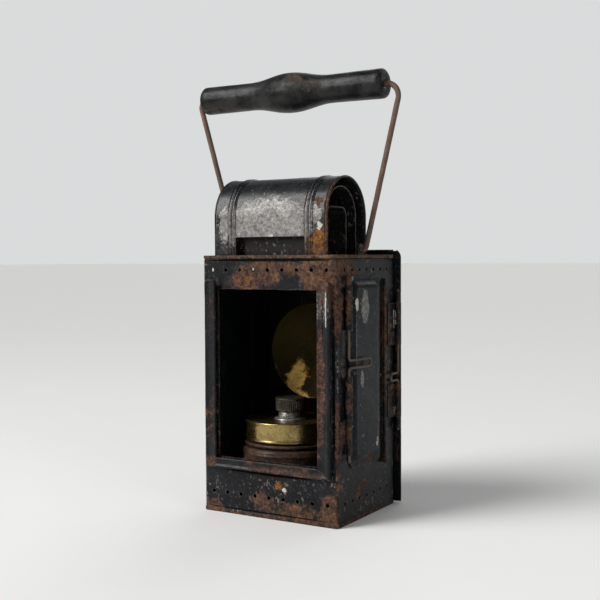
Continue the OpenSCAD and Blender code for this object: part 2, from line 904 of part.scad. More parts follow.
module flue_outline(w, h, r) {
    translate([-w / 2, -(h < flue_h ? over : 0)])
        square([w, h - r + (h < flue_h ? over : 0)]);
    translate([-w / 2 + r, 0])
        square([w - 2 * r, h]);
    for (side = [-1, 1])
        translate([side * (w / 2 - r), h - r])
            circle(r);
}

module hood_rivets() {
    color(rust_brown) at_hood_rivets()
        translate([0, 0, plate_z + sheet])
        rivet(2 * sheet);
}

// An upright ear with a turned-out foot, on the top plate outside the hood's end
module bail_lug() {
    ear_r = pivot_z - plate_z - 0.1;
    foot_half = 7;
    color(japan_black) difference() {
        union() {
            translate([lug_x, 0, pivot_z])
                rotate([0, 90, 0])
                cylinder(r = ear_r, h = lug_t);
            block([lug_x, -ear_r, plate_z], [lug_x + lug_t, ear_r, pivot_z]);
            block([lug_x, -foot_half, plate_z], [half_w - sheet - running_gap, foot_half, plate_z + sheet]);
        }
        translate([lug_x - over, 0, pivot_z])
            rotate([0, 90, 0])
            cylinder(r = wire_r + running_gap, h = lug_t + 2 * over);
        at_lug_rivets(1) rivet_hole(plate_z);
    }
}

module bail_lug_left() { on_side(-1) bail_lug(); }
module bail_lug_right() { on_side(1) bail_lug(); }

module lug_rivets() {
    color(rust_brown) for (side = [-1, 1]) at_lug_rivets(side)
        translate([0, 0, plate_z + sheet])
        rivet(2 * sheet);
}

// Where an arm's line from the foot, tangent to the bend at the grip's end, meets the grip's axis
function bail_corner(end_x, bend_r) =
    let (
        centre = [end_x, bail_reach - bend_r],
        away = centre - [foot_x, 0],
        way = atan2(away[1], away[0]) - asin(bend_r / norm(away))
    )
    foot_x + bail_reach / tan(way);

// Places children in the bail's own plane: X across, Y up the bail from its pivots
module in_bail_plane() {
    translate([0, 0, pivot_z])
        rotate([90 + bail_lean, 0, 0])
        children();
}

module bail_wire() {
    tip_x = lug_x - pin_head_t - 0.3;
    left_x = -bail_corner(-grip_left_x + grip_end_gap, bend_left);
    right_x = bail_corner(grip_right_x + grip_end_gap, bend_right);
    color(rust_brown) in_bail_plane() {
        bent_wire([[-tip_x, 0], [-foot_x, 0], [left_x, bail_reach], [right_x, bail_reach], [foot_x, 0],
            [tip_x, 0]], [foot_bend_r, bend_left, bend_right, foot_bend_r], wire_d);
        for (side = [-1, 1])
            translate([side > 0 ? tip_x : -tip_x - pin_head_t, 0, 0])
                rotate([0, 90, 0])
                cylinder(r = pin_head_r, h = pin_head_t);
    }
}

// Radius of the grip at distance s from its middle
function grip_radius(s) =
    let (
        swell = pow(cos(90 * min(1, abs(s) / swell_half)), 2),
        flare = pow(abs(s) / (grip_len / 2), 4),
        inset = max(0, grip_round - (grip_len / 2 - abs(s)))
    )
    grip_neck_d / 2 + (grip_mid_d - grip_neck_d) / 2 * swell + (grip_end_d - grip_neck_d) / 2 * flare
        - grip_round + sqrt(grip_round * grip_round - inset * inset);

module grip() {
    half = grip_len / 2;
    body_steps = 44;
    end_steps = 5;
    body_half = half - grip_round;
    stations = concat(
        [for (i = [0 : end_steps - 1]) -half + grip_round * (1 - cos(90 * i / end_steps))],
        [for (i = [0 : body_steps]) -body_half + 2 * body_half * i / body_steps],
        [for (i = [end_steps - 1 : -1 : 0]) half - grip_round * (1 - cos(90 * i / end_steps))]
    );
    color("#1b1a19") in_bail_plane()
        translate([-grip_shift, bail_reach, 0])
        rotate([0, 90, 0])
        rotate_extrude()
        polygon(concat(
            [[wire_r + running_gap, -half]],
            [for (s = stations) [grip_radius(s), s]],
            [[wire_r + running_gap, half]]
        ));
}

// Places children on the font's axis, at height z
module on_font(z) {
    translate([font_x, font_y, z])
        children();
}

// A ring on the floor that the tank stands in, kept clear of the floor pan's flange
module font_seat() {
    seat_h = 4;
    pan_inset = 2 * (2 * sheet + running_gap + seat_gap);
    color(japan_black) difference() {
        intersection() {
            on_font(floor_top) cylinder(d = tank_d + 0.6 + 2 * sheet, h = seat_h);
            translate([-case_w / 2, pan_inset / 2 - half_d, floor_top])
                cube([case_w, case_d - pan_inset, seat_h]);
        }
        on_font(floor_top - over) cylinder(d = tank_d + 0.6, h = seat_h + 2 * over);
    }
}

module font_tank() {
    shoulder_r = 2.5;
    r = tank_d / 2;
    neck = band_d / 2 - 4;
    h = tank_top - floor_top;
    color("#4a3226") on_font(floor_top) rotate_extrude() difference() {
        union() {
            square([r, h - shoulder_r]);
            square([r - shoulder_r, h]);
            translate([r - shoulder_r, h - shoulder_r])
                circle(shoulder_r);
            square([neck, h + groove_h]);
        }
        translate([-r, 0])
            square([r, h + groove_h]);
        translate([0, sheet])
            square([r - sheet, h - shoulder_r - sheet]);
        translate([0, sheet])
            square([neck - sheet, h + groove_h]);
    }
}

module font_ring() {
    ring_h = 2;
    color(japan_black) on_font(tank_top + groove_h / 2 - ring_h / 2) difference() {
        cylinder(d = band_d + 2, h = ring_h);
        translate([0, 0, -over])
            cylinder(r = band_d / 2 - 4 + running_gap, h = ring_h + 2 * over);
    }
}

// The brass band with its top: a shallow cup turned over, with a small raised lip round the edge
module font_cover() {
    r = band_d / 2;
    lip = 0.6;
    color(brass) on_font(band_z) rotate_extrude() difference() {
        union() {
            square([r, band_h - lip]);
            translate([r - 2 * lip, 0])
                square([lip, band_h]);
            translate([r - lip, band_h - lip])
                circle(lip);
            translate([r - 2 * lip, band_h - lip])
                circle(lip);
        }
        translate([-r, -over])
            square([r, band_h + 2 * over]);
        translate([0, -over])
            square([r - sheet, band_h - lip - sheet + over]);
        translate([0, band_h - lip - 2 * sheet])
            square([neck_bore_r, 4]);
    }
}

module burner_neck() {
    base_r = neck_r + 3;
    z = cover_top - 0.6;
    h = neck_top - z;
    turns = floor((h - 2) / thread_pitch);
    foot_h = 1;
    color(tinned) on_font(z) rotate_extrude() polygon(concat(
        [[neck_bore_r, 0], [base_r, 0], [base_r, foot_h], [neck_r - thread_depth, foot_h]],
        [for (i = [0 : turns - 1], k = [0 : 2])
            [neck_r - (k == 1 ? 0 : thread_depth), foot_h + 0.2 + thread_pitch * (i + k / 2 * 0.9)]],
        [[neck_r - thread_depth, h], [neck_bore_r, h]]
    ));
}

module wick_tube() {
    color(brass) on_font(tank_top) difference() {
        cylinder(r = tube_outer_r, h = neck_top - tank_top - 2.5);
        translate([0, 0, -over])
            cylinder(r = wick_r + running_gap, h = neck_top - tank_top);
    }
    color(brass) on_font(cover_top - 0.6) difference() {
        cylinder(r = neck_bore_r - running_gap, h = sheet);
        translate([0, 0, -over])
            cylinder(r = wick_r + running_gap, h = sheet + 2 * over);
    }
}

module wick() {
    color("#d8cdb4") on_font(floor_top + 3)
        cylinder(r = wick_r, h = neck_top - floor_top - 4);
}

module cap_gasket() {
    color("#3a2a20") on_font(neck_top + running_gap)
        cylinder(r = neck_r - 0.3, h = gasket_t - running_gap);
}

module burner_cap() {
    r = cap_d / 2;
    edge = 0.8;
    color("#2a2a28") on_font(cap_z) difference() {
        rotate_extrude() difference() {
            union() {
                square([r - edge, cap_h]);
                square([r, cap_h - edge]);
                translate([r - edge, cap_h - edge])
                    circle(edge);
            }
            translate([-r, -over])
                square([r, cap_h + 2 * over]);
            translate([0, -over])
                square([neck_r + running_gap, cap_h - cap_top_t + over]);
        }
        for (i = [0 : knurl_count - 1])
            rotate([0, 0, i * 360 / knurl_count])
                translate([r + 0.15, 0, 1])
                cylinder(r = knurl_r, h = cap_h - 2.4);
    }
}

case_shell();
floor_pan();
top_plate();
window_channel_left();
window_channel_right();
window_sill_channel();
front_glass();
side_frame_left();
side_frame_right();
side_glass_left();
side_glass_right();
shutter_rest_left();
shutter_rest_right();
shutter_left();
shutter_right();
shutter_pin_left();
shutter_pin_right();
shutter_ears_left();
shutter_ears_right();
rear_door();
rear_hinge_straps();
rear_hinge_pin();
reflector();
reflector_bracket();
reflector_rivet();
hood_outer();
hood_inner();
flue_duct();
hood_rivets();
bail_lug_left();
bail_lug_right();
lug_rivets();
bail_wire();
grip();
font_seat();
font_tank();
font_ring();
font_cover();
burner_neck();
wick_tube();
wick();
cap_gasket();
burner_cap();
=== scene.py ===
"""Hand lantern of japanned sheet steel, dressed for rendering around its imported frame.

Lengths in the classes are in millimetres, in the frame's own axes: +X to the right of a person who looks at
the window, -Y towards that person, +Z up, and the origin on the ground under the middle of the case.
"""
import logging
import math
from collections.abc import Callable, Sequence
from dataclasses import dataclass, field
from enum import Enum
from typing import ClassVar

import bmesh
import bpy
import numpy as np
from mathutils import Matrix, Vector, noise
from mathutils.geometry import delaunay_2d_cdt


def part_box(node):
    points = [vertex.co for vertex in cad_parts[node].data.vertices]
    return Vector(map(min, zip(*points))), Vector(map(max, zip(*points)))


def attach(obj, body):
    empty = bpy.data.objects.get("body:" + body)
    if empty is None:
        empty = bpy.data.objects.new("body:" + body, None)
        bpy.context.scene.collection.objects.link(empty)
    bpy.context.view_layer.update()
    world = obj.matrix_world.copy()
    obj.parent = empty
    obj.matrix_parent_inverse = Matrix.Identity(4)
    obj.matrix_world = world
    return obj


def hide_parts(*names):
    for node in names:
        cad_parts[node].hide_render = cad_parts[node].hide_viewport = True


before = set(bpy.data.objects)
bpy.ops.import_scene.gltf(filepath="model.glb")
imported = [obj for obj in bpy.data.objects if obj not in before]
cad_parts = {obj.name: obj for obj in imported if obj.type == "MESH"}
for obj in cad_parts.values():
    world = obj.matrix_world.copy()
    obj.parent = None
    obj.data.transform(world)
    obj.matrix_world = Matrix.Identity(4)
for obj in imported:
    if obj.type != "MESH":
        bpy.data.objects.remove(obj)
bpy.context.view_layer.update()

MM = 0.001
SHEET = 0.8
Point2 = tuple[float, float]
Point3 = tuple[float, float, float]
Rgb = Point3
Loop = list[Point2]
Faces = list[tuple[int, ...]]
Fold = Callable[[float, float, float], Vector]
Skin = Callable[[float, float, float], float]
Socket = bpy.types.NodeSocket
log = logging.getLogger("lantern")


class Side(Enum):
    """Which side of the case a piece is on."""

    LEFT = -1
    RIGHT = 1

    @property
    def label(self) -> str:
        """The word that ends the names of this side's pieces."""
        return self.name.lower()


class Damage(Enum):
    """What a marked place on a painted sheet shows; some bright places are painted highlights and most dark
    ones painted shade.
    """

    RUST = "rust"
    ORANGE = "orange"
    BARE = "bare"
    CHIP = "chip"
    # Dark places: a little grime, and mostly painted shade along creases, beside parts and under ledges.
    GRIME_AND_PAINTED_SHADE = "grime_and_painted_shade"


# ---- shapes


def ripple(p: Vector, size: float, seed: float = 0.0) -> float:
    """Smooth noise at a point in millimetres, about -1 to 1, with ripples of a size."""
    return noise.noise(Vector((p.x / size + seed * 7.31, p.y / size - seed * 3.17, p.z / size + seed)))


def sheet_wave(p: Vector, amount: float, seed: float) -> float:
    """How far a hand-worked sheet stands off its true surface at a point, with waves of a height."""
    return amount * (ripple(p, 34.0, seed) + 0.35 * ripple(p, 11.0, seed + 4.0))


def spaced(low: float, high: float, step: float) -> list[float]:
    """Evenly spaced values from low to high, no more than step apart."""
    count = max(1, math.ceil((high - low) / step - 1e-6))
    return [low + (high - low) * i / count for i in range(count + 1)]


def arc(centre: Point2, radius: float, start: float, stop: float, step: float = 15.0) -> Loop:
    """Points on an arc.

    Args:
        centre: The arc's centre.
        radius: Its radius.
        start: First angle in degrees.
        stop: Last angle in degrees.
        step: Largest angle between two points.

    Returns:
        The points from start to stop.
    """
    count = max(1, math.ceil(abs(stop - start) / step))
    turns = [math.radians(start + (stop - start) * i / count) for i in range(count + 1)]
    return [(centre[0] + radius * math.cos(t), centre[1] + radius * math.sin(t)) for t in turns]


def rounded_box(low: Point2, high: Point2, radius: float) -> Loop:
    """A rectangle with round corners, as a closed loop."""
    (x0, y0), (x1, y1), r = low, high, radius
    return (arc((x1 - r, y0 + r), r, -90, 0, 22.5) + arc((x1 - r, y1 - r), r, 0, 90, 22.5)
            + arc((x0 + r, y1 - r), r, 90, 180, 22.5) + arc((x0 + r, y0 + r), r, 180, 270, 22.5))


def bent_line(points: Sequence[Point2], radii: Sequence[float], step: float) -> Loop:
    """Samples a flat path of straight runs and round bends.

    Args:
        points: The path's corners, with its two ends.
        radii: The bend radius of each inner corner.
        step: Longest distance between two samples on a straight run.

    Returns:
        Points along the path.
    """
    path: Loop = [points[0]]
    for i in range(1, len(points) - 1):
        before, here, after = (Vector(points[k]) for k in (i - 1, i, i + 1))
        come, go = (here - before).normalized(), (after - here).normalized()
        turn = math.atan2(come.x * go.y - come.y * go.x, come.dot(go))
        trim = radii[i - 1] * math.tan(abs(turn) / 2)
        start, side = here - come * trim, math.copysign(1.0, turn)
        centre = start + Vector((-come.y, come.x)) * side * radii[i - 1]
        first = math.degrees(math.atan2(start.y - centre.y, start.x - centre.x))
        path += run_between(path[-1], (start.x, start.y), step)
        path += arc((centre.x, centre.y), radii[i - 1], first, first + math.degrees(turn), 12)[1:]
    return path + run_between(path[-1], points[-1], step)


def run_between(a: Point2, b: Point2, step: float) -> Loop:
    """Points on the straight line from a to b, without a itself."""
    count = max(1, math.ceil(math.dist(a, b) / step))
    return [(a[0] + (b[0] - a[0]) * i / count, a[1] + (b[1] - a[1]) * i / count) for i in range(1, count + 1)]


def inside(points: np.ndarray, loop: Loop) -> np.ndarray:
    """Tells which points are inside a closed loop.

    Args:
        points: N rows of x and y.
        loop: The loop's corners.

    Returns:
        One truth value for each point.
    """
    x, y = points[:, 0], points[:, 1]
    found = np.zeros(len(points), bool)
    for (x0, y0), (x1, y1) in zip(loop, loop[1:] + loop[:1]):
        if y0 != y1:
            crosses = (y0 > y) != (y1 > y)
            found ^= crosses & (x < (x1 - x0) * (y - y0) / (y1 - y0) + x0)
    return found


@dataclass
class Shape:
    """A mesh in the making: its points in millimetres, its faces, and which finish each face takes."""

    points: list[Vector] = field(default_factory=list)
    faces: Faces = field(default_factory=list)
    finishes: list[int] = field(default_factory=list)

    def join(self, other: "Shape") -> "Shape":
        """Adds another shape to this one.

        Args:
            other: The shape to add.

        Returns:
            This shape.
        """
        first = len(self.points)
        self.points += other.points
        self.faces += [tuple(first + i for i in f) for f in other.faces]
        self.finishes += other.finishes
        return self

    def mirrored(self, side: Side) -> "Shape":
        """The shape itself for the right side, or its mirror image for the left."""
        points = [Vector((side.value * p.x, p.y, p.z)) for p in self.points]
        return Shape(points, list(self.faces), list(self.finishes))

    def moved(self, place: Callable[[Vector], Vector]) -> "Shape":
        """A copy whose points all go through a function."""
        return Shape([place(p) for p in self.points], list(self.faces), list(self.finishes))

    def make(self, name: str, finishes: Sequence["Finish"], sharp: float = 38.0) -> bpy.types.Object:
        """Turns the shape into an object at the origin, in metres.

        Args:
            name: The object's name.
            finishes: The finishes that its faces take, by index.
            sharp: Faces that meet at a larger angle, in degrees, get a sharp edge.

        Returns:
            The new object.
        """
        mesh = bpy.data.meshes.new(name)
        mesh.from_pydata([p * MM for p in self.points], [], self.faces)
        mesh.polygons.foreach_set("material_index", self.finishes)
        work = bmesh.new()
        work.from_mesh(mesh)
        bmesh.ops.recalc_face_normals(work, faces=work.faces)
        work.to_mesh(mesh)
        work.free()
        mesh.polygons.foreach_set("use_smooth", [True] * len(mesh.polygons))
        mesh.set_sharp_from_angle(angle=math.radians(sharp))
        for finish in finishes:
            mesh.materials.append(finish.material())
        piece = bpy.data.objects.new(name, mesh)
        bpy.context.scene.collection.objects.link(piece)
        return piece


def skin_faces(rings: int, size: int, closed: bool = False, capped: bool = False) -> Faces:
    """Faces between rings of points.

    Args:
        rings: Number of rings.
        size: Points in each ring.
        closed: Whether the last ring joins the first.
        capped: Whether each end gets a face.

    Returns:
        The faces, over points counted ring by ring.
    """
    faces: Faces = []
    for k in range(rings if closed else rings - 1):
        here, after = k * size, (k + 1) % rings * size
        faces += [(here + i, here + (i + 1) % size, after + (i + 1) % size, after + i) for i in range(size)]
    if capped:
        faces += [tuple(range(size - 1, -1, -1)), tuple(range((rings - 1) * size, rings * size))]
    return faces


def sweep(section: Loop, frames: Sequence[tuple[Vector, Vector, Vector]], closed: bool = False) -> Shape:
    """Carries a section along a row of frames.

    Args:
        section: The section's closed loop.
        frames: For each station its origin, and the directions of the section's first and second axis.
        closed: Whether the last station joins the first. Otherwise both ends are capped.

    Returns:
        The swept shape.
    """
    points = [o + a * u + b * v for o, a, b in frames for u, v in section]
    faces = skin_faces(len(frames), len(section), closed, not closed)
    return Shape(points, faces, [0] * len(faces))


def upright(section: Loop, low: float, high: float, wave: float = 0.1, seed: float = 0.0) -> Shape:
    """An upright length of a section that lies in the XY plane, a little uneven along its length.

    Args:
        section: The section's closed loop, in X and Y.
        low: Height of its foot.
        high: Height of its top.
        wave: How far it wanders sideways.
        seed: Shifts the pattern.

    Returns:
        The shape.
    """
    frames = []
    for z in spaced(low, high, 2.5):
        drift = Vector((ripple(Vector((0, 0, z)), 16, seed), ripple(Vector((9, 0, z)), 16, seed), 0)) * wave
        frames.append((Vector((0, 0, z)) + drift, Vector((1, 0, 0)), Vector((0, 1, 0))))
    return sweep(section, frames)


def wire(path: Sequence[Vector], radius: float, pits: float = 0.03, seed: float = 0.0) -> Shape:
    """A round wire along a path, with rounded ends and an uneven, pitted skin.

    Args:
        path: Points along the wire's middle.
        radius: Its radius.
        pits: Depth of the unevenness.
        seed: Shifts the pattern.

    Returns:
        The shape.
    """
    sides = 18
    along = (path[1] - path[0]).normalized()
    across = along.orthogonal().normalized()
    points: list[Vector] = []
    for k, here in enumerate(path):
        ahead = (path[min(k + 1, len(path) - 1)] - path[max(k - 1, 0)]).normalized()
        across = (across - ahead * across.dot(ahead)).normalized()
        other = ahead.cross(across)
        for i in range(sides):
            turn = 2 * math.pi * i / sides
            out = across * math.cos(turn) + other * math.sin(turn)
            skin = here + out * radius
            r = radius - pits + pits * (ripple(skin, 7.0, seed) + 0.6 * ripple(skin, 2.6, seed))
            points.append(here + out * min(r, radius))
    rows = len(path)
    faces = skin_faces(rows, sides)
    for end, next_end, row in ((0, 1, 0), (-1, -2, rows - 1)):
        middle, inner = path[end], len(points)
        bulge = (middle - path[next_end]).normalized() * radius * 0.22
        points += [middle + (points[row * sides + i] - middle) * 0.7 + bulge for i in range(sides)]
        for i in range(sides):
            j = (i + 1) % sides
            faces.append((row * sides + i, row * sides + j, inner + j, inner + i))
        faces.append(tuple(inner + i for i in range(sides)))
    return Shape(points, faces, [0] * len(faces))


def lathe(profile: Loop, steps: int, skin: Skin | None = None) -> Shape:
    """Turns a closed profile about the Z axis.

    Args:
        profile: Radius and height of each point, as a closed loop that stays off the axis.
        steps: Stations round the axis.
        skin: Gives an extra radius for an angle, radius and height.

    Returns:
        The turned shape.
    """
    points = []
    for k in range(steps):
        turn = 2 * math.pi * k / steps
        for r, z in profile:
            rr = r + (skin(turn, r, z) if skin else 0.0)
            points.append(Vector((rr * math.cos(turn), rr * math.sin(turn), z)))
    faces = skin_faces(steps, len(profile), closed=True)
    return Shape(points, faces, [0] * len(faces))


def turned_skin(depth: float, size: float, beyond: float) -> Skin:
    """A lathe's skin for thin turned sheet, a little dented.

    Args:
        depth: Height of the dents.
        size: Rough size of a dent.
        beyond: Radius inside which the sheet stays true.

    Returns:
        The skin.
    """
    def skin(turn: float, r: float, z: float) -> float:
        """Extra radius at a point of the sheet."""
        dent = ripple(Vector((r * math.cos(turn), r * math.sin(turn), z)), size, 3)
        return depth * dent - 0.6 * depth if r > beyond else 0.0

    return skin


def hairpin_line(hairpin: Point3, top: float, foot: float) -> Loop:
    """Middle line of an upright wire with a hairpin leg, as distance out and height.

    Args:
        hairpin: Height of the leg's middle, the leg's width and its reach.
        top: Height of the wire's top.
        foot: Height of its foot.

    Returns:
        Points from the top to the foot.
    """
    middle, width, reach = hairpin
    high, low = middle + width / 2, middle - width / 2
    corners = [(0, top), (0, high), (reach, high), (reach, low), (0, low), (0, foot)]
    return bent_line(corners, [2.5] * 4, 2.0)


@dataclass
class SheetPattern:
    """The flat pattern of a sheet: its outline, its holes, and the lines of its net."""

    outline: Loop
    holes: list[Loop] = field(default_factory=list)
    step: float = 3.0
    columns: list[float] = field(default_factory=list)
    rows: list[float] = field(default_factory=list)
    thickness: float = SHEET

    def fine_loop(self, loop: Loop) -> Loop:
        """Splits a loop's sides so that its points lie a little closer than the net's step.

        Args:
            loop: The loop's corners.

        Returns:
            The finer loop.
        """
        fine: Loop = []
        for a, b in zip(loop, loop[1:] + loop[:1]):
            if math.dist(a, b) > 1e-6:
                fine += [a] + run_between(a, b, self.step * 0.8)[:-1]
        return fine

    def net(self) -> tuple[list[Point2], list[tuple[int, ...]]]:
        """Triangulates the pattern.

        Returns:
            The net's points and its triangles.
        """
        loops = [self.fine_loop(loop) for loop in [self.outline] + self.holes]
        rim = np.array([p for loop in loops for p in loop])
        low, high = rim.min(0), rim.max(0)
        columns = self.columns or spaced(low[0], high[0], self.step)
        rows = self.rows or spaced(low[1], high[1], self.step)
        grid = np.array([(u, v) for u in columns for v in rows])
        keep = inside(grid, loops[0])
        for hole in loops[1:]:
            keep &= ~inside(grid, hole)
        grid = grid[keep]
        near = np.ones(len(grid), bool)
        reach = 0.4 * min(self.step, min(np.diff(columns).min(), 9) * 2.4)
        for k in range(0, len(grid), 2000):
            part = grid[k:k + 2000]
            near[k:k + 2000] = (((part[:, None] - rim[None]) ** 2).sum(2).min(1) > reach ** 2)
        grid = grid[near]
        edges, first = [], 0
        for loop in loops:
            edges += [(first + i, first + (i + 1) % len(loop)) for i in range(len(loop))]
            first += len(loop)
        everything = [Vector(p) for p in np.vstack([rim, grid])]
        flat, _, triangles, _, _, _ = delaunay_2d_cdt(everything, edges, [], 0, 1e-5)
        middles = np.array([[(flat[a].x + flat[b].x + flat[c].x) / 3, (flat[a].y + flat[b].y + flat[c].y) / 3]
                            for a, b, c in triangles])
        keep = inside(middles, loops[0])
        for hole in loops[1:]:
            keep &= ~inside(middles, hole)
        return [(p.x, p.y) for p in flat], [tuple(t) for t, k in zip(triangles, keep) if k]

    def shape(self, fold: Fold, back_finish: int = 0) -> Shape:
        """Bends the pattern into a sheet with two faces and a rounded rim.

        Args:
            fold: Gives the place of a pattern point at a depth below the outer face.
            back_finish: Index of the finish of the inner face.

        Returns:
            The sheet.
        """
        flat, triangles = self.net()
        t = self.thickness
        used = sorted({i for tri in triangles for i in tri})
        index = {old: new for new, old in enumerate(used)}
        flat = [flat[i] for i in used]
        triangles = [tuple(index[i] for i in tri) for tri in triangles]
        n = len(flat)
        seen = {(a, b) for tri in triangles for a, b in zip(tri, tri[1:] + tri[:1])}
        rim = [(a, b) for a, b in seen if (b, a) not in seen]
        out: dict[int, Vector] = {}
        for a, b in rim:
            away = Vector((flat[b][1] - flat[a][1], flat[a][0] - flat[b][0])).normalized()
            for i in (a, b):
                out[i] = out.get(i, Vector((0, 0))) + away
        middle = {i: n * 2 + k for k, i in enumerate(sorted(out))}
        points = [fold(u, v, 0.0) for u, v in flat] + [fold(u, v, t) for u, v in flat]
        for i in sorted(out):
            push = out[i].normalized() * 0.3 * t if out[i].length > 1e-6 else Vector((0, 0))
            points.append(fold(flat[i][0] + push.x, flat[i][1] + push.y, t / 2))
        sheet = Shape(points)
        for tri in triangles:
            sheet.faces += [tri, tuple(n + i for i in reversed(tri))]
            sheet.finishes += [0, back_finish]
        for a, b in sorted(rim):
            sheet.faces += [(b, a, middle[a], middle[b]), (middle[b], middle[a], n + a, n + b)]
            sheet.finishes += [0, 0]
        return sheet


# ---- finishes


class Bench:
    """Lays out the shader nodes of one material."""

    def __init__(self, name: str) -> None:
        """Starts an empty material with one surface shader.

        Args:
            name: The material's name.
        """
        self.material = bpy.data.materials.new(name)
        self.material.use_nodes = True
        self.tree = self.material.node_tree
        self.tree.nodes.clear()
        self.surface = self.add("BsdfPrincipled")
        self.add("OutputMaterial", {"Surface": self.surface.outputs[0]})
        self.place = self.add("TexCoord").outputs["Object"]
        self.tear: Socket | None = None

    def add(self, kind: str, feeds: dict[int | str, object] | None = None,
            **settings: object) -> bpy.types.Node:
        """Adds a node.

        Args:
            kind: Its type, without the words that every shader node starts with.
            feeds: Links or fixed values for its inputs.
            settings: Its properties.

        Returns:
            The node.
        """
        made = self.tree.nodes.new("ShaderNode" + kind)
        for key, value in settings.items():
            setattr(made, key, value)
        for key, value in (feeds or {}).items():
            self.put(value, made.inputs[key])
        return made

    def put(self, value: object, socket: Socket) -> None:
        """Gives a socket a link or a fixed value.

        Args:
            value: Another node's output, or the value.
            socket: The input that takes it.
        """
        if isinstance(value, bpy.types.NodeSocket):
            self.tree.links.new(value, socket)
        else:
            socket.default_value = value

    def set(self, name: str, value: object) -> None:
        """Sets one socket of the surface shader."""
        self.put(value, self.surface.inputs[name])

    def vector(self, operation: str, *terms: object) -> Socket:
        """One sum on vectors."""
        return self.add("VectorMath", dict(enumerate(terms)), operation=operation).outputs[0]

    def noise(self, size: float, detail: float = 6.0, rough: float = 0.6, warp: float = 0.0,
              shift: float = 0.0, stretch: Point3 = (1.0, 1.0, 1.0)) -> Socket:
        """Noise of a grain size in millimetres, about 0 to 1.

        Args:
            size: Size of the largest grain.
            detail: Number of finer layers.
            rough: Weight of the finer layers.
            warp: How much the pattern is twisted.
            shift: Moves the pattern.
            stretch: Scale of each axis.

        Returns:
            The noise value's socket.
        """
        place = self.vector("MULTIPLY", self.place, stretch) if stretch != (1.0, 1.0, 1.0) else self.place
        feeds = {"Vector": place, "W": shift, "Scale": 1 / (size * MM), "Detail": detail, "Roughness": rough,
                 "Distortion": warp}
        return self.add("TexNoise", feeds, noise_dimensions="4D").outputs[0]

    def product(self, a: object, b: object) -> Socket:
        """One value times another."""
        return self.add("Math", {0: a, 1: b}, operation="MULTIPLY").outputs[0]

    def total(self, *terms: tuple[object, float]) -> Socket:
        """Adds values, each times its own weight.

        Args:
            terms: Each value with its weight.

        Returns:
            The sum's socket.
        """
        result: object = 0.0
        for value, weight in terms:
            feeds = {0: value, 1: weight, 2: result}
            result = self.add("Math", feeds, operation="MULTIPLY_ADD").outputs[0]
        return result

    def step(self, value: object, low: float, high: float, start: float = 0.0, stop: float = 1.0) -> Socket:
        """A smooth step from start to stop as a value goes from low to high."""
        feeds = {"Value": value, "From Min": low, "From Max": high, "To Min": start, "To Max": stop}
        return self.add("MapRange", feeds, interpolation_type="SMOOTHSTEP").outputs[0]

    def ramp(self, value: object, *stops: tuple[float, Rgb]) -> Socket:
        """A colour for each value.

        Args:
            value: The value.
            stops: Places along the ramp, each with its colour.

        Returns:
            The colour's socket.
        """
        made = self.add("ValToRGB", {0: value})
        marks = made.color_ramp.elements
        while len(marks) < len(stops):
            marks.new(0.5)
        for mark, (where, colour) in zip(marks, stops):
            mark.position = where
            mark.color = (*colour, 1.0)
        return made.outputs[0]

    def blend(self, share: object, a: object, b: object) -> Socket:
        """Mixes two colours."""
        a, b = ((*tone, 1.0) if isinstance(tone, tuple) else tone for tone in (a, b))
        return self.add("Mix", {0: share, 6: a, 7: b}, data_type="RGBA").outputs[2]

    def mix(self, share: object, a: object, b: object) -> Socket:
        """Mixes two plain values."""
        return self.add("Mix", {0: share, 2: a, 3: b}, data_type="FLOAT").outputs[0]

    def edge(self, radius: float) -> Socket:
        """How near a sharp edge is.

        Args:
            radius: How far from the edge it reaches, in millimetres.

        Returns:
            The mask's socket, 1 on the edge.
        """
        rounded = self.add("Bevel", {"Radius": radius * MM}, samples=4).outputs[0]
        plain = self.add("NewGeometry").outputs["Normal"]
        match = self.add("VectorMath", {0: rounded, 1: plain}, operation="DOT_PRODUCT")
        return self.step(match.outputs["Value"], 0.98, 0.78)

    def torn(self, amount: float) -> Socket:
        """The object's own coordinates, pushed about unevenly.

        Args:
            amount: How far they are pushed, in millimetres.

        Returns:
            The coordinates' socket.
        """
        if self.tear is None:
            feeds = {"Vector": self.place, "Scale": 1 / (3.4 * MM), "Detail": 5.0}
            uneven = self.add("TexNoise", feeds)
            self.tear = self.vector("SUBTRACT", uneven.outputs["Color"], (0.5, 0.5, 0.5))
        return self.vector("MULTIPLY_ADD", self.tear, (amount * MM,) * 3, self.place)

    def spot(self, centre: Point3, radii: Point3, soft: float = 0.75, ragged: float = 0.0) -> Socket:
        """A marked place, of wear or of painted light and shade: 1 at its middle, fading to 0 at its border.

        Args:
            centre: Its middle, in millimetres.
            radii: Its half sizes, in millimetres.
            soft: Share of the radius over which it fades.
            ragged: How far its border is torn, in millimetres.

        Returns:
            The mask's socket.
        """
        place = self.torn(ragged) if ragged else self.place
        off = self.vector("SUBTRACT", place, [c * MM for c in centre])
        scaled = self.vector("DIVIDE", off, [r * MM for r in radii])
        length = self.add("VectorMath", {0: scaled}, operation="LENGTH")
        return self.step(length.outputs["Value"], 1.0, 1.0 - soft)

    def bump(self, height: object, depth: float) -> None:
        """Presses a height into the surface, with its full depth in millimetres."""
        made = self.add("Bump", {"Strength": 1.0, "Distance": depth * MM, "Height": height})
        self.set("Normal", made.outputs[0])


class Finish:
    """A finish that builds its material once, when the first piece takes it."""

    slot: str
    made: ClassVar[dict[str, bpy.types.Material]] = {}

    def material(self) -> bpy.types.Material:
        """Builds the material when it is first asked for.

        Returns:
            The material.
        """
        if self.slot not in Finish.made:
            bench = Bench(self.slot)
            self.dress(bench)
            Finish.made[self.slot] = bench.material
        return Finish.made[self.slot]

    def dress(self, bench: Bench) -> None:
        """Lays out the nodes."""
        raise NotImplementedError


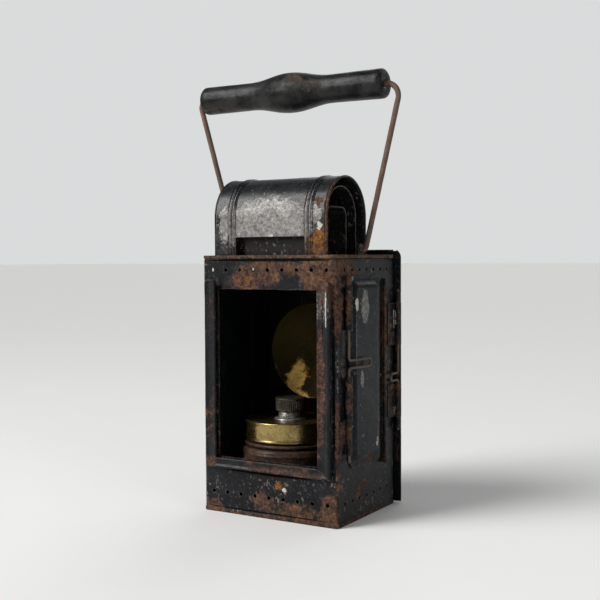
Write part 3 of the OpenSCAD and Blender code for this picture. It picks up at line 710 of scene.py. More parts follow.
@dataclass(frozen=True)
class Spot:
    """A marked place, of wear or of painted light and shade: what it shows, where it is, its half sizes, its
    strength and how torn its border is.
    """

    damage: Damage
    centre: Point3
    radii: Point3
    strength: float = 0.3
    ragged: float = 8.0

    def mask(self, bench: Bench, soft: float) -> tuple[Socket, float]:
        """Its mask and its strength."""
        return bench.spot(self.centre, self.radii, soft, self.ragged), self.strength


def places(damage: Damage, *rows: tuple[Point3 | float, ...]) -> tuple[Spot, ...]:
    """Marked places of one kind, of wear or of painted light and shade, from rows of middle, half sizes,
    strength and how torn the border is.
    """
    return tuple(Spot(damage, *row) for row in rows)


@dataclass(frozen=True)
class WornSteel(Finish):
    """Painted steel sheet with rust, bare metal and chips, and painted highlights and painted shade where its
    spots put them.

    rust and bare are levels: a lower one lets more of the sheet show it.
    """

    slot: str
    paint: Rgb = (0.0055, 0.0065, 0.0085)
    gloss: float = 0.33
    rust: float = 0.66
    edge_rust: float = 0.22
    bare: float = 0.74
    edge_bare: float = 0.14
    rust_tint: Rgb = (0.094, 0.052, 0.035)
    dust: float = 0.14
    specks: float = 0.64
    shine: float = 0.18
    spots: tuple[Spot, ...] = ()
    seed: float = 0.0

    def level(self, bench: Bench, damage: Damage) -> list[tuple[Socket, float]]:
        """The places of one kind of damage, each with its strength."""
        return [spot.mask(bench, 0.75) for spot in self.spots if spot.damage is damage]

    def dress(self, bench: Bench) -> None:
        """Lays out paint, dust, bare metal, rust, chips and dark marks, from the bottom to the top; some
        bright places are painted highlights, and most dark marks painted shade.

        Args:
            bench: The material's bench.
        """
        seed = self.seed
        edge = bench.edge(1.3)
        broad = bench.noise(30, 5, 0.6, 0.4, seed)
        patchy = bench.noise(7, 8, 0.68, 0.6, seed + 3)
        fine = bench.noise(1.6, 6, 0.7, 0.0, seed + 5)
        streak = bench.noise(5, 6, 0.65, 0.0, seed + 8, (1.0, 1.0, 0.22))
        blotch = bench.total((bench.noise(18, 6, 0.6, 0.2, seed + 1), 0.45),
                             (bench.noise(2.2, 5, 0.7, 0.2, seed + 2), 0.55))
        tone = bench.ramp(blotch, *((where, tuple(c * share for c in self.paint))
                                    for where, share in ((0.38, 0.5), (0.5, 1.0), (0.58, 2.0), (0.68, 4.5))))
        film = bench.total((streak, 0.6), (fine, 0.4))
        film = bench.step(film, 0.44, 0.72, 0.0, self.dust)
        colour = bench.blend(film, tone, (0.06, 0.054, 0.046))
        rough = bench.mix(film, bench.step(patchy, 0.3, 0.7, self.gloss - 0.08, self.gloss + 0.12), 0.72)

        specks = bench.total((bench.noise(1.5, 3, 0.6, 0.3, seed + 21, (1.0, 1.0, 0.6)), 0.7), (patchy, 0.3))
        specks = bench.step(specks, self.specks - 0.05, self.specks + 0.02, 0.0, 0.8)
        speck_tone = bench.ramp(patchy, (0.42, (0.05, 0.032, 0.022)), (0.52, (0.1, 0.08, 0.065)),
                                (0.62, (0.22, 0.2, 0.18)))
        colour = bench.blend(specks, colour, speck_tone)
        # Bright places: wear, and on some pieces painted highlight lines along edges and ridges.
        worn = bench.total((fine, 0.6), (broad, 0.2), (streak, 0.2), (edge, self.edge_bare),
                           *self.level(bench, Damage.BARE))
        bare = bench.step(worn, self.bare - 0.05, self.bare + 0.05)
        metal = bench.ramp(bench.noise(2.4, 8, 0.8, 0.2, seed + 11), (0.32, (0.03, 0.029, 0.028)),
                           (0.44, (0.12, 0.115, 0.11)), (0.55, (0.24, 0.23, 0.22)), (0.7, (0.42, 0.41, 0.39)))
        colour = bench.blend(bare, colour, metal)
        rough = bench.mix(bare, rough, bench.step(fine, 0.3, 0.7, 0.42, 0.62))

        rusty = bench.total((broad, 0.42), (patchy, 0.4), (fine, 0.18), (edge, self.edge_rust),
                            *self.level(bench, Damage.RUST))
        rust = bench.step(rusty, self.rust - 0.045, self.rust + 0.045)
        r, g, b = self.rust_tint
        crumb = bench.noise(1.9, 8, 0.8, 0.3, seed + 23)
        crust = bench.ramp(bench.total((patchy, 0.35), (crumb, 0.65)), (0.36, (r * 0.08, g * 0.11, b * 0.17)),
                           (0.45, (r * 0.36, g * 0.4, b * 0.46)), (0.51, (r * 0.85, g * 0.85, b * 0.85)),
                           (0.57, (r * 1.6, g * 1.45, b * 1.25)), (0.66, (r * 2.3, g * 2.7, b * 3.1)))
        colour = bench.blend(rust, colour, crust)
        rough = bench.mix(rust, rough, bench.step(fine, 0.3, 0.7, 0.72, 0.95))

        bright = self.level(bench, Damage.ORANGE)
        if bright:
            fresh = bench.step(bench.total((patchy, 0.6), (fine, 0.3), *bright), 0.54, 0.66)
            glow = bench.ramp(bench.total((patchy, 0.4), (crumb, 0.6)),
                              (0.38, (0.022, 0.011, 0.007)), (0.47, (0.085, 0.036, 0.015)),
                              (0.55, (0.22, 0.088, 0.023)), (0.66, (0.5, 0.25, 0.075)))
            colour = bench.blend(fresh, colour, glow)
            rough = bench.mix(fresh, rough, 0.85)
        # Pale chips: on the window channel some of them are painted highlight lines on its ridges.
        chips = self.level(bench, Damage.CHIP)
        if chips:
            pale = bench.step(bench.total((patchy, 0.5), (fine, 0.2), *chips), 0.6, 0.64)
            lime = bench.ramp(fine, (0.35, (0.3, 0.28, 0.24)), (0.65, (0.62, 0.6, 0.54)))
            colour = bench.blend(pale, colour, lime)
            rough = bench.mix(pale, rough, 0.7)
        shine = bench.mix(rust, self.shine, 0.1)
        # Dark marks: a little grime, and mostly painted shade in creases, beside beads, tubes and wires, and
        # under ledges.
        grimy = self.level(bench, Damage.GRIME_AND_PAINTED_SHADE)
        if grimy:
            dark = bench.step(bench.total((patchy, 0.3), (fine, 0.2), *grimy), 0.36, 0.5, 0.0, 0.94)
            colour = bench.blend(dark, colour, (0.0025, 0.0022, 0.002))
            rough = bench.mix(dark, rough, 0.9)
            shine = bench.mix(dark, shine, 0.04)

        bench.set("Base Color", colour)
        bench.set("Roughness", rough)
        bench.set("Specular IOR Level", shine)
        bench.set("Metallic", bench.product(bare, bench.step(rust, 0.0, 1.0, 0.55, 0.0)))
        grain = bench.noise(0.9, 3, 0.6, 0.0, seed + 14)
        swell = bench.noise(12, 3, 0.5, 0.0, seed + 15)
        crusted = bench.product(rust, bench.total((fine, 0.9), (grain, 0.5)))
        bench.bump(bench.total((crusted, 0.5), (rust, -0.12), (bare, -0.18), (swell, 0.5), (grain, 0.05),
                               (film, 0.06)), 0.28)


@dataclass(frozen=True)
class Brass(Finish):
    """Old brass: bright where it is rubbed, brown where it has tarnished, with turning lines; its spots
    brighten or darken the tarnish, and on the reflector they are a painted highlight and painted shade.
    """

    slot: str
    bright: Rgb = (0.5, 0.35, 0.13)
    dull: Rgb = (0.1, 0.07, 0.03)
    tarnish: float = 0.5
    gloss: float = 0.3
    turned: bool = True
    spots: tuple[Spot, ...] = ()
    stain: float = 0.6

    def dress(self, bench: Bench) -> None:
        """Lays out the tarnish with its spots of painted highlight and shade, the stains and the fine lines.

        Args:
            bench: The material's bench.
        """
        cloud = bench.noise(14, 7, 0.62, 0.5, 2)
        fleck = bench.noise(1.8, 7, 0.7, 0.0, 5)
        lines = bench.noise(6, 4, 0.7, 0.0, 7, (1.0, 1.0, 22.0) if self.turned else (3.0, 1.0, 3.0))
        edge = bench.edge(0.9)
        # Spots shift the tarnish: a negative strength brightens the brass and a positive one darkens it; on
        # the reflector this is painted highlight and painted shade.
        rubbed = [spot.mask(bench, 0.9) for spot in self.spots]
        tarnish_and_painted_light = bench.total((cloud, 0.6), (fleck, 0.4), (edge, -0.2), *rubbed)
        tarnish_and_painted_light = bench.step(tarnish_and_painted_light, self.tarnish - 0.16, self.tarnish + 0.16)
        gold = bench.blend(bench.step(lines, 0.35, 0.7), self.bright, tuple(c * 0.72 for c in self.bright))
        colour = bench.blend(tarnish_and_painted_light, gold, self.dull)
        stain = bench.step(bench.total((fleck, 0.7), (cloud, 0.3)), self.stain, self.stain + 0.07)
        colour = bench.blend(stain, colour, (0.03, 0.018, 0.008))
        bench.set("Base Color", colour)
        bench.set("Metallic", bench.mix(stain, 1.0, 0.4))
        polish = bench.step(lines, 0.3, 0.7, self.gloss - 0.06, self.gloss + 0.08)
        rough = bench.mix(tarnish_and_painted_light, polish, self.gloss + 0.24)
        bench.set("Roughness", bench.mix(stain, rough, 0.8))
        bench.bump(bench.total((lines, 0.35), (fleck, 0.25), (stain, -0.3)), 0.05)


@dataclass(frozen=True)
class RustyWire(Finish):
    """Steel wire gone evenly brown, rubbed dark and smooth where it is handled."""

    slot: str
    brown: Rgb = (0.1, 0.055, 0.036)

    def dress(self, bench: Bench) -> None:
        """Lays out the brown skin, dark patches and paler flecks.

        Args:
            bench: The material's bench.
        """
        cloud = bench.noise(9, 6, 0.65, 0.3, 1)
        fleck = bench.noise(1.3, 6, 0.7, 0.0, 4)
        r, g, b = self.brown
        skin = bench.ramp(bench.total((cloud, 0.5), (fleck, 0.5)), (0.3, (r * 0.28, g * 0.3, b * 0.36)),
                          (0.47, (r * 0.8, g * 0.8, b * 0.85)), (0.58, (r * 1.3, g * 1.25, b * 1.2)),
                          (0.72, (r * 2.3, g * 2.3, b * 2.3)))
        rubbed = bench.step(bench.total((cloud, 0.7), (bench.edge(0.5), 0.2)), 0.56, 0.66)
        bench.set("Base Color", bench.blend(rubbed, skin, (r * 0.7, g * 0.85, b)))
        bench.set("Roughness", bench.mix(rubbed, bench.step(fleck, 0.3, 0.7, 0.62, 0.85), 0.42))
        bench.set("Metallic", bench.product(rubbed, 0.5))
        bench.bump(bench.total((fleck, 0.6), (cloud, 0.4)), 0.12)


@dataclass(frozen=True)
class Glass(Finish):
    """Old window glass, thin and clear, or coloured right through, with a film of soot near its border."""

    slot: str
    tint: Rgb
    cover: float
    middle: Point3
    reach: Point3
    shine: float = 0.12

    def dress(self, bench: Bench) -> None:
        """Lays out the tint and the film.

        Args:
            bench: The material's bench.
        """
        smear = bench.noise(22, 6, 0.6, 1.2, 3)
        border = bench.spot(self.middle, self.reach, 0.5)
        film = bench.total((border, -0.55), (smear, 1.0))
        film = bench.step(film, 0.1, 0.75)
        bench.set("Base Color", bench.blend(film, self.tint, tuple(c * 0.35 for c in self.tint)))
        bench.set("Roughness", bench.mix(film, 0.06, 0.4))
        bench.set("Alpha", bench.mix(film, self.cover, min(1.0, self.cover + 0.05)))
        bench.set("Specular IOR Level", self.shine)


@dataclass(frozen=True)
class PaintedWood(Finish):
    """Turned wood under black paint, rubbed through to brown in places."""

    slot: str
    spots: tuple[Spot, ...] = ()

    def dress(self, bench: Bench) -> None:
        """Lays out the paint, the grain that shows through it, and the rubbed places.

        Args:
            bench: The material's bench.
        """
        grain = bench.noise(5, 7, 0.65, 0.5, 2, (0.16, 1.0, 1.0))
        cloud = bench.noise(16, 6, 0.62, 0.4, 6)
        fleck = bench.noise(1.5, 6, 0.72, 0.0, 9)
        rubbed = [spot.mask(bench, 0.9) for spot in self.spots]
        worn = bench.step(bench.total((fleck, 0.45), (cloud, 0.3), (grain, 0.25), *rubbed), 0.585, 0.64)
        paint = bench.ramp(cloud, (0.35, (0.003, 0.003, 0.0035)), (0.65, (0.009, 0.0085, 0.0085)))
        wood = bench.ramp(bench.total((grain, 0.6), (fleck, 0.4)), (0.35, (0.014, 0.01, 0.008)),
                          (0.5, (0.045, 0.031, 0.023)), (0.66, (0.13, 0.1, 0.078)))
        bench.set("Base Color", bench.blend(worn, paint, wood))
        shine = bench.step(bench.total((cloud, 0.5), (grain, 0.5)), 0.35, 0.65, 0.27, 0.46)
        bench.set("Roughness", bench.mix(worn, shine, 0.68))
        bench.set("Specular IOR Level", bench.mix(worn, bench.step(cloud, 0.36, 0.62, 0.1, 0.34), 0.12))
        dings = bench.step(bench.noise(2.6, 2, 0.5, 0.2, 12), 0.5, 0.8)
        bench.bump(bench.total((grain, 0.5), (worn, -0.3), (dings, -0.5), (fleck, 0.35), (cloud, 0.5)), 0.26)


@dataclass(frozen=True)
class Soot(Finish):
    """Black paint under a skin of lamp soot."""

    slot: str
    black: Rgb = (0.0022, 0.0022, 0.0024)

    def dress(self, bench: Bench) -> None:
        """Lays out matt soot with a few brown stains.

        Args:
            bench: The material's bench.
        """
        cloud = bench.noise(24, 6, 0.62, 0.5, 3)
        fleck = bench.noise(2.0, 6, 0.7, 0.0, 6)
        brown = bench.step(bench.total((cloud, 0.6), (fleck, 0.4)), 0.58, 0.7, 0.0, 0.7)
        bench.set("Base Color", bench.blend(brown, self.black, (0.012, 0.007, 0.005)))
        bench.set("Roughness", bench.step(fleck, 0.3, 0.7, 0.6, 0.9))
        bench.set("Specular IOR Level", 0.12)
        bench.bump(bench.total((fleck, 0.7), (cloud, 0.3)), 0.1)


@dataclass(frozen=True)
class Tinned(Finish):
    """Turned metal: the crests of its turning are bright, and grime lies in the grooves."""

    slot: str
    bright: Rgb = (0.55, 0.54, 0.5)
    grime_and_painted_shade: Rgb = (0.05, 0.045, 0.035)
    metal: float = 1.0
    gloss: float = 0.28
    grimy: float = 0.5

    def dress(self, bench: Bench) -> None:
        """Lays out metal and grime.

        Args:
            bench: The material's bench.
        """
        cloud = bench.noise(5, 6, 0.65, 0.3, 3)
        fleck = bench.noise(0.9, 5, 0.7, 0.0, 8)
        edge = bench.edge(0.35)
        dirt = bench.total((cloud, 0.5), (fleck, 0.5), (edge, -0.3))
        dirt = bench.step(dirt, self.grimy - 0.1, self.grimy + 0.1)
        bench.set("Base Color", bench.blend(dirt, self.bright, self.grime_and_painted_shade))
        bench.set("Metallic", bench.mix(dirt, self.metal, self.metal * 0.5))
        polish = bench.step(fleck, 0.3, 0.7, self.gloss, self.gloss + 0.14)
        bench.set("Roughness", bench.mix(dirt, polish, 0.6))
        bench.bump(bench.total((fleck, 0.5), (dirt, 0.3)), 0.04)


@dataclass(frozen=True)
class Fibre(Finish):
    """Cotton or leather: a fine fibrous grain between two tones."""

    slot: str
    dark: Rgb
    light: Rgb

    def dress(self, bench: Bench) -> None:
        """Lays out the fibres.

        Args:
            bench: The material's bench.
        """
        strand = bench.noise(1.2, 6, 0.7, 0.4, 2, (1.0, 1.0, 0.3))
        bench.set("Base Color", bench.ramp(strand, (0.35, self.dark), (0.65, self.light)))
        bench.set("Roughness", bench.step(strand, 0.3, 0.7, 0.95, 0.75))
        bench.bump(strand, 0.2)


class Finishes:
    """Every finish of the lantern."""

    case = WornSteel(
        "japanned_case", rust=0.59, edge_rust=0.1, bare=0.70, edge_bare=0.2, specks=0.60,
        spots=places(Damage.RUST, ((8, -43, 173), (46, 6, 14), 0.13), ((-16, -43, 166), (24, 5, 9), 0.14),
            ((44, -43, 166), (20, 9, 26), 0.26), ((55, -32, 173), (6, 26, 14), 0.3),
            ((55, -40, 146), (4, 8, 28), 0.3), ((55.2, -42, 60), (3.2, 5, 50), 0.22),
            ((28, -43, 6), (42, 6, 12), 0.16), ((-5, -43, 12), (14, 6, 10), 0.12),
            ((50, -43, 12), (12, 8, 18), 0.16), ((0, -43, 0.6), (70, 8, 2.6), 0.2),
            ((-46, -43, 4), (16, 8, 8), 0.2), ((55, 0, 0.6), (8, 60, 3), 0.2),
            ((55, 0, 22), (6, 40, 12), 0.08), ((-55, -43, 90), (3, 4, 100), 0.1))
        + places(Damage.BARE, ((55.2, -42.5, 100), (2, 3, 60), 0.2),
            ((0, -30, 1.7), (90, 90, 1.5), 0.13, 1.0))
        + places(Damage.ORANGE, ((8.5, -43, 24), (5, 6, 4.5), 0.26, 4.0),
            ((-18, -43, 166), (22, 4, 8), 0.14, 12.0), ((46, -43, 170), (12, 4, 9), 0.1))
        + places(Damage.CHIP, ((12.5, -43, 21.5), (4, 6, 3), 0.32, 4.0),
            ((55.2, 42.5, 128), (3, 2.4, 26), 0.26, 3.0), ((55.2, 42.5, 62), (3, 2.4, 26), 0.26, 3.0))
        # Dark marks: the lines under the top lip at z 180.4, under the sill channel at z 31.6 and beside the
        # right channel at x 52.4 are painted shade; the line at z 3.9 darkens the wall just above the hem;
        # the patch at (18, -43, 169) is dark mottling in the paint.
        + places(Damage.GRIME_AND_PAINTED_SHADE, ((0, -30, 3.9), (90, 90, 0.9), 0.3, 0.6), ((18, -43, 169), (12, 5, 9), 0.16),
            ((0, -43, 180.4), (80, 60, 1.5), 0.4, 0.6), ((0, -44, 31.6), (60, 4, 2.4), 0.4, 0.8),
            ((52.4, -44, 90), (1.6, 3, 90), 0.4, 0.8)))
    inside = Soot("japanned_inside")
    top = WornSteel(
        "rusty_top", rust=0.47, edge_rust=0.08, bare=0.70, dust=0.3, seed=20,
        rust_tint=(0.1, 0.06, 0.042),
        spots=places(Damage.RUST, ((25, -43, 183), (45, 8, 6), 0.12))
        # A bright line along the front of the rolled lip: worn bare, and painted as the lip's highlight line.
        + places(Damage.BARE, ((0, -43.6, 183.4), (70, 2.4, 1.2), 0.12, 1.0)))
    channel = WornSteel(
        "rusty_channel", rust=0.56, edge_rust=0.02, bare=0.66, edge_bare=0.17, dust=0.3, seed=31,
        rust_tint=(0.085, 0.048, 0.036),
        spots=places(Damage.BARE, ((46, -47, 150), (9, 8, 26), 0.13))
        # On the right channel's lip: pale chips along its two ridges that also stand in for their highlight
        # lines, and between them a dark line of painted shade in the shallow middle groove.
        + places(Damage.CHIP, ((48.6, -48, 147), (1.6, 4, 24), 0.36, 1.6),
            ((42.6, -48, 143), (1.5, 4, 18), 0.27, 2.4))
        + places(Damage.GRIME_AND_PAINTED_SHADE, ((45.8, -48, 140), (1.0, 4, 30), 0.26, 1.4))
        + places(Damage.RUST, ((44, -47, 92), (5, 8, 62), 0.2), ((20, -47, 36), (44, 8, 8), 0.1, 14.0),
            ((-46, -47, 36), (8, 8, 8), 0.14)))
    strip = WornSteel(
        "rusty_strip", rust=0.5, edge_rust=0.04, bare=0.64, edge_bare=0.22, seed=44,
        rust_tint=(0.085, 0.05, 0.035),
        spots=places(Damage.CHIP, ((56.2, 41.4, 136), (3, 2, 19), 0.32, 2.4),
            ((56.2, 41.4, 62), (3, 2, 24), 0.28, 2.4))
        + places(Damage.BARE, ((58.4, 23.3, 120), (2.4, 2, 60), 0.14, 3.0)))
    shutter = WornSteel(
        "japanned_shutter", rust=0.66, edge_rust=0.12, bare=0.72, edge_bare=0.2, gloss=0.3, seed=52,
        specks=0.62, dust=0.07, shine=0.12, paint=(0.0045, 0.007, 0.01),
        spots=places(Damage.CHIP, ((58, -9, 149), (6, 8.5, 19), 0.2, 6.0),
            ((58, -20.8, 150), (4, 3.4, 8), 0.44, 2.4), ((58, 9, 52), (5, 4.5, 7), 0.3, 5.0))
        # Among these, the thin lines at y -21.8 and y 14.8 are painted highlights along the edges of the
        # pressed field, and the line at x 60.2 is a painted highlight down the outer face of the hinge tube.
        + places(Damage.BARE, ((58, -9, 148), (6, 8, 18), 0.5, 6.0), ((56, -26, 168), (4, 8, 5), 0.36, 4.0),
            ((58, -14, 99), (5, 4.5, 10), 0.4, 5.0), ((58, -21.8, 128), (4, 1.1, 46), 0.26, 1.2),
            ((58, 14.8, 110), (4, 1.1, 60), 0.2, 1.2), ((60.2, -31, 140), (1.6, 3, 40), 0.16, 3.0))
        + places(Damage.RUST, ((58.4, -32.5, 148), (4.6, 4.6, 26), 0.34),
            ((58.4, -32.5, 88), (4.6, 4.6, 24), 0.3), ((57, 0, 42), (6, 28, 8), 0.12))
        # A dark line of painted shade on the plate beside the hinge tube.
        + places(Damage.GRIME_AND_PAINTED_SHADE, ((57, -28.6, 110), (3, 1.1, 80), 0.4, 1.0)))
    door = WornSteel(
        "japanned_door", rust=0.62, edge_rust=0.16, bare=0.70, edge_bare=0.3, seed=63,
        spots=places(Damage.RUST, ((0, 47, 10), (80, 8, 16), 0.14), ((50, 47, 120), (14, 8, 60), 0.1),
            ((56.4, 47.4, 100), (2.6, 2.6, 110), 0.13))
        # A bright line down the door's right edge: worn bare, and painted as the lit edge.
        + places(Damage.BARE, ((56.6, 47.6, 100), (1.6, 1.6, 110), 0.2)))
    hood = WornSteel(
        "worn_hood", rust=0.66, edge_rust=0.14, bare=0.68, edge_bare=0.16, seed=71, gloss=0.28, shine=0.32,
        spots=places(Damage.BARE, ((-1, -41, 206), (62, 34, 35), 0.3, 10.0), ((38, -41, 212), (5, 9, 9), 0.2),
            ((-39, -41, 206), (6, 9, 26), 0.12), ((-31.4, -38, 215), (3.6, 16, 40), 0.1),
            ((31.4, -38, 215), (3.6, 16, 40), 0.1))
        + places(Damage.RUST, ((45.5, -36, 215), (3, 16, 44), 0.3), ((38.5, -40, 220), (5, 6, 9), 0.24),
            ((38, -41, 190), (12, 6, 19), 0.26))
        + places(Damage.ORANGE, ((39.5, -41, 194), (9, 6, 13), 0.27, 10.0))
        + places(Damage.CHIP, ((40, -41, 203.5), (4, 4, 6), 0.4, 5.0),
            ((1.5, -41, 197.4), (3.4, 4, 2.4), 0.5, 3.0))
        # Dark lines along the creases beside and between the pressed beads, and beside the rim wire: painted
        # shade.
        + places(Damage.GRIME_AND_PAINTED_SHADE, *(((x, -12, 215), (0.8, 60, 90), strength, 0.5) for x, strength in (
            (-31.4, 0.34), (31.4, 0.34), (-28.2, 0.3), (28.2, 0.3), (-34.8, 0.3), (34.8, 0.3), (44.2, 0.3)))))
    hood_inside = WornSteel(
        "japanned_hood_inner", rust=0.66, bare=0.68, edge_bare=0.5, edge_rust=0.05, seed=82, specks=0.6,
        paint=(0.004, 0.004, 0.0045), gloss=0.5)
    wire = RustyWire("rusty_wire", (0.09, 0.062, 0.046))
    bail = RustyWire("bail_wire_rust", (0.125, 0.072, 0.05))
    # The reflector's places are painted light: the BARE places, with negative strength, brighten it into a
    # painted highlight low on the left, and the RUST places darken its right side and upper part with painted
    # shade.
    reflector = Brass(
        "reflector_brass", (0.95, 0.6, 0.17), (0.036, 0.025, 0.008), 0.36, 0.36, False,
        places(Damage.BARE, ((-16.5, 24, 91), (10, 30, 19), -0.45), ((-12, 24, 76), (18, 24, 8), -0.4, 3.0))
        + places(Damage.RUST, ((8, 24, 100), (18, 40, 40), 0.55), ((-27, 24, 112), (13, 30, 24), 0.45),
            ((0, 22, 140), (60, 30, 34), 0.3)), 0.54)
    band = Brass("band_brass", (0.42, 0.31, 0.12), (0.13, 0.09, 0.035), 0.56, 0.25, True)
    tank = WornSteel("brown_tin", paint=(0.04, 0.022, 0.015), rust=0.6, bare=0.72, gloss=0.36, seed=90,
                     edge_rust=0.05)
    neck = Tinned("bright_tin", (0.8, 0.79, 0.75), (0.035, 0.032, 0.026), 1.0, 0.3, 0.5)
    cap = Tinned("dark_cap", (0.1, 0.085, 0.05), (0.014, 0.012, 0.008), 0.4, 0.32, 0.46)
    clear = Glass("clear_glass", (0.02, 0.02, 0.02), 0.004, (0, -44.5, 99), (72, 60, 86), 0.03)
    green = Glass("green_glass", (0.0005, 0.007, 0.003), 0.93, (-53, -5.5, 103), (20, 30, 80))
    red = Glass("red_glass", (0.02, 0.0006, 0.0006), 0.93, (53, -5.5, 103), (20, 30, 80))
    wood = PaintedWood(
        "painted_wood", places(
            Damage.BARE, ((4, -16, 308), (15, 14, 10), 0.13), ((20, -16, 302), (16, 12, 8), 0.12),
            ((-62, -12, 290), (30, 16, 9), 0.1), ((-78, -8, 300), (6, 14, 14), 0.1),
            ((70, -8, 306), (6, 14, 12), 0.1)))
    cotton = Fibre("wick_cotton", (0.2, 0.17, 0.12), (0.5, 0.45, 0.36))
    leather = Fibre("cap_leather", (0.02, 0.012, 0.008), (0.07, 0.04, 0.026))


def settle(piece: bpy.types.Object, body: str, slot: str, *nodes: str) -> None:
    """Hands a finished piece to the frame.

    Args:
        piece: The piece, in place.
        body: The body that it moves with.
        slot: The material slot that it takes its finish from. Not used.
        nodes: The solids that it stands for.
    """
    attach(piece, body)
    if nodes:
        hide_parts(*nodes)
    log.info("%s: %d faces, rides on %s, stands for %s", piece.name, len(piece.data.polygons), body, nodes)


def dress_node(name: str, finish: Finish, round_edges: float = 0.0) -> None:
    """Gives a solid of the frame its finish, and softens its edges.

    Args:
        name: The solid's name.
        finish: Its finish.
        round_edges: Width of the softened edges, in millimetres.
    """
    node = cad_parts[name]
    node.data.materials.clear()
    node.data.materials.append(finish.material())
    if round_edges:
        soften = node.modifiers.new("soft_edges", "BEVEL")
        soften.width = round_edges * MM
        soften.segments = 2
        soften.limit_method = "ANGLE"
        soften.angle_limit = math.radians(50)
    log.info("%s: keeps its solid", name)


def span(node: str) -> tuple[Vector, Vector]:
    """The lowest and highest corner of a solid of the frame, in millimetres."""
    low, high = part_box(node)
    return low / MM, high / MM


# ---- case


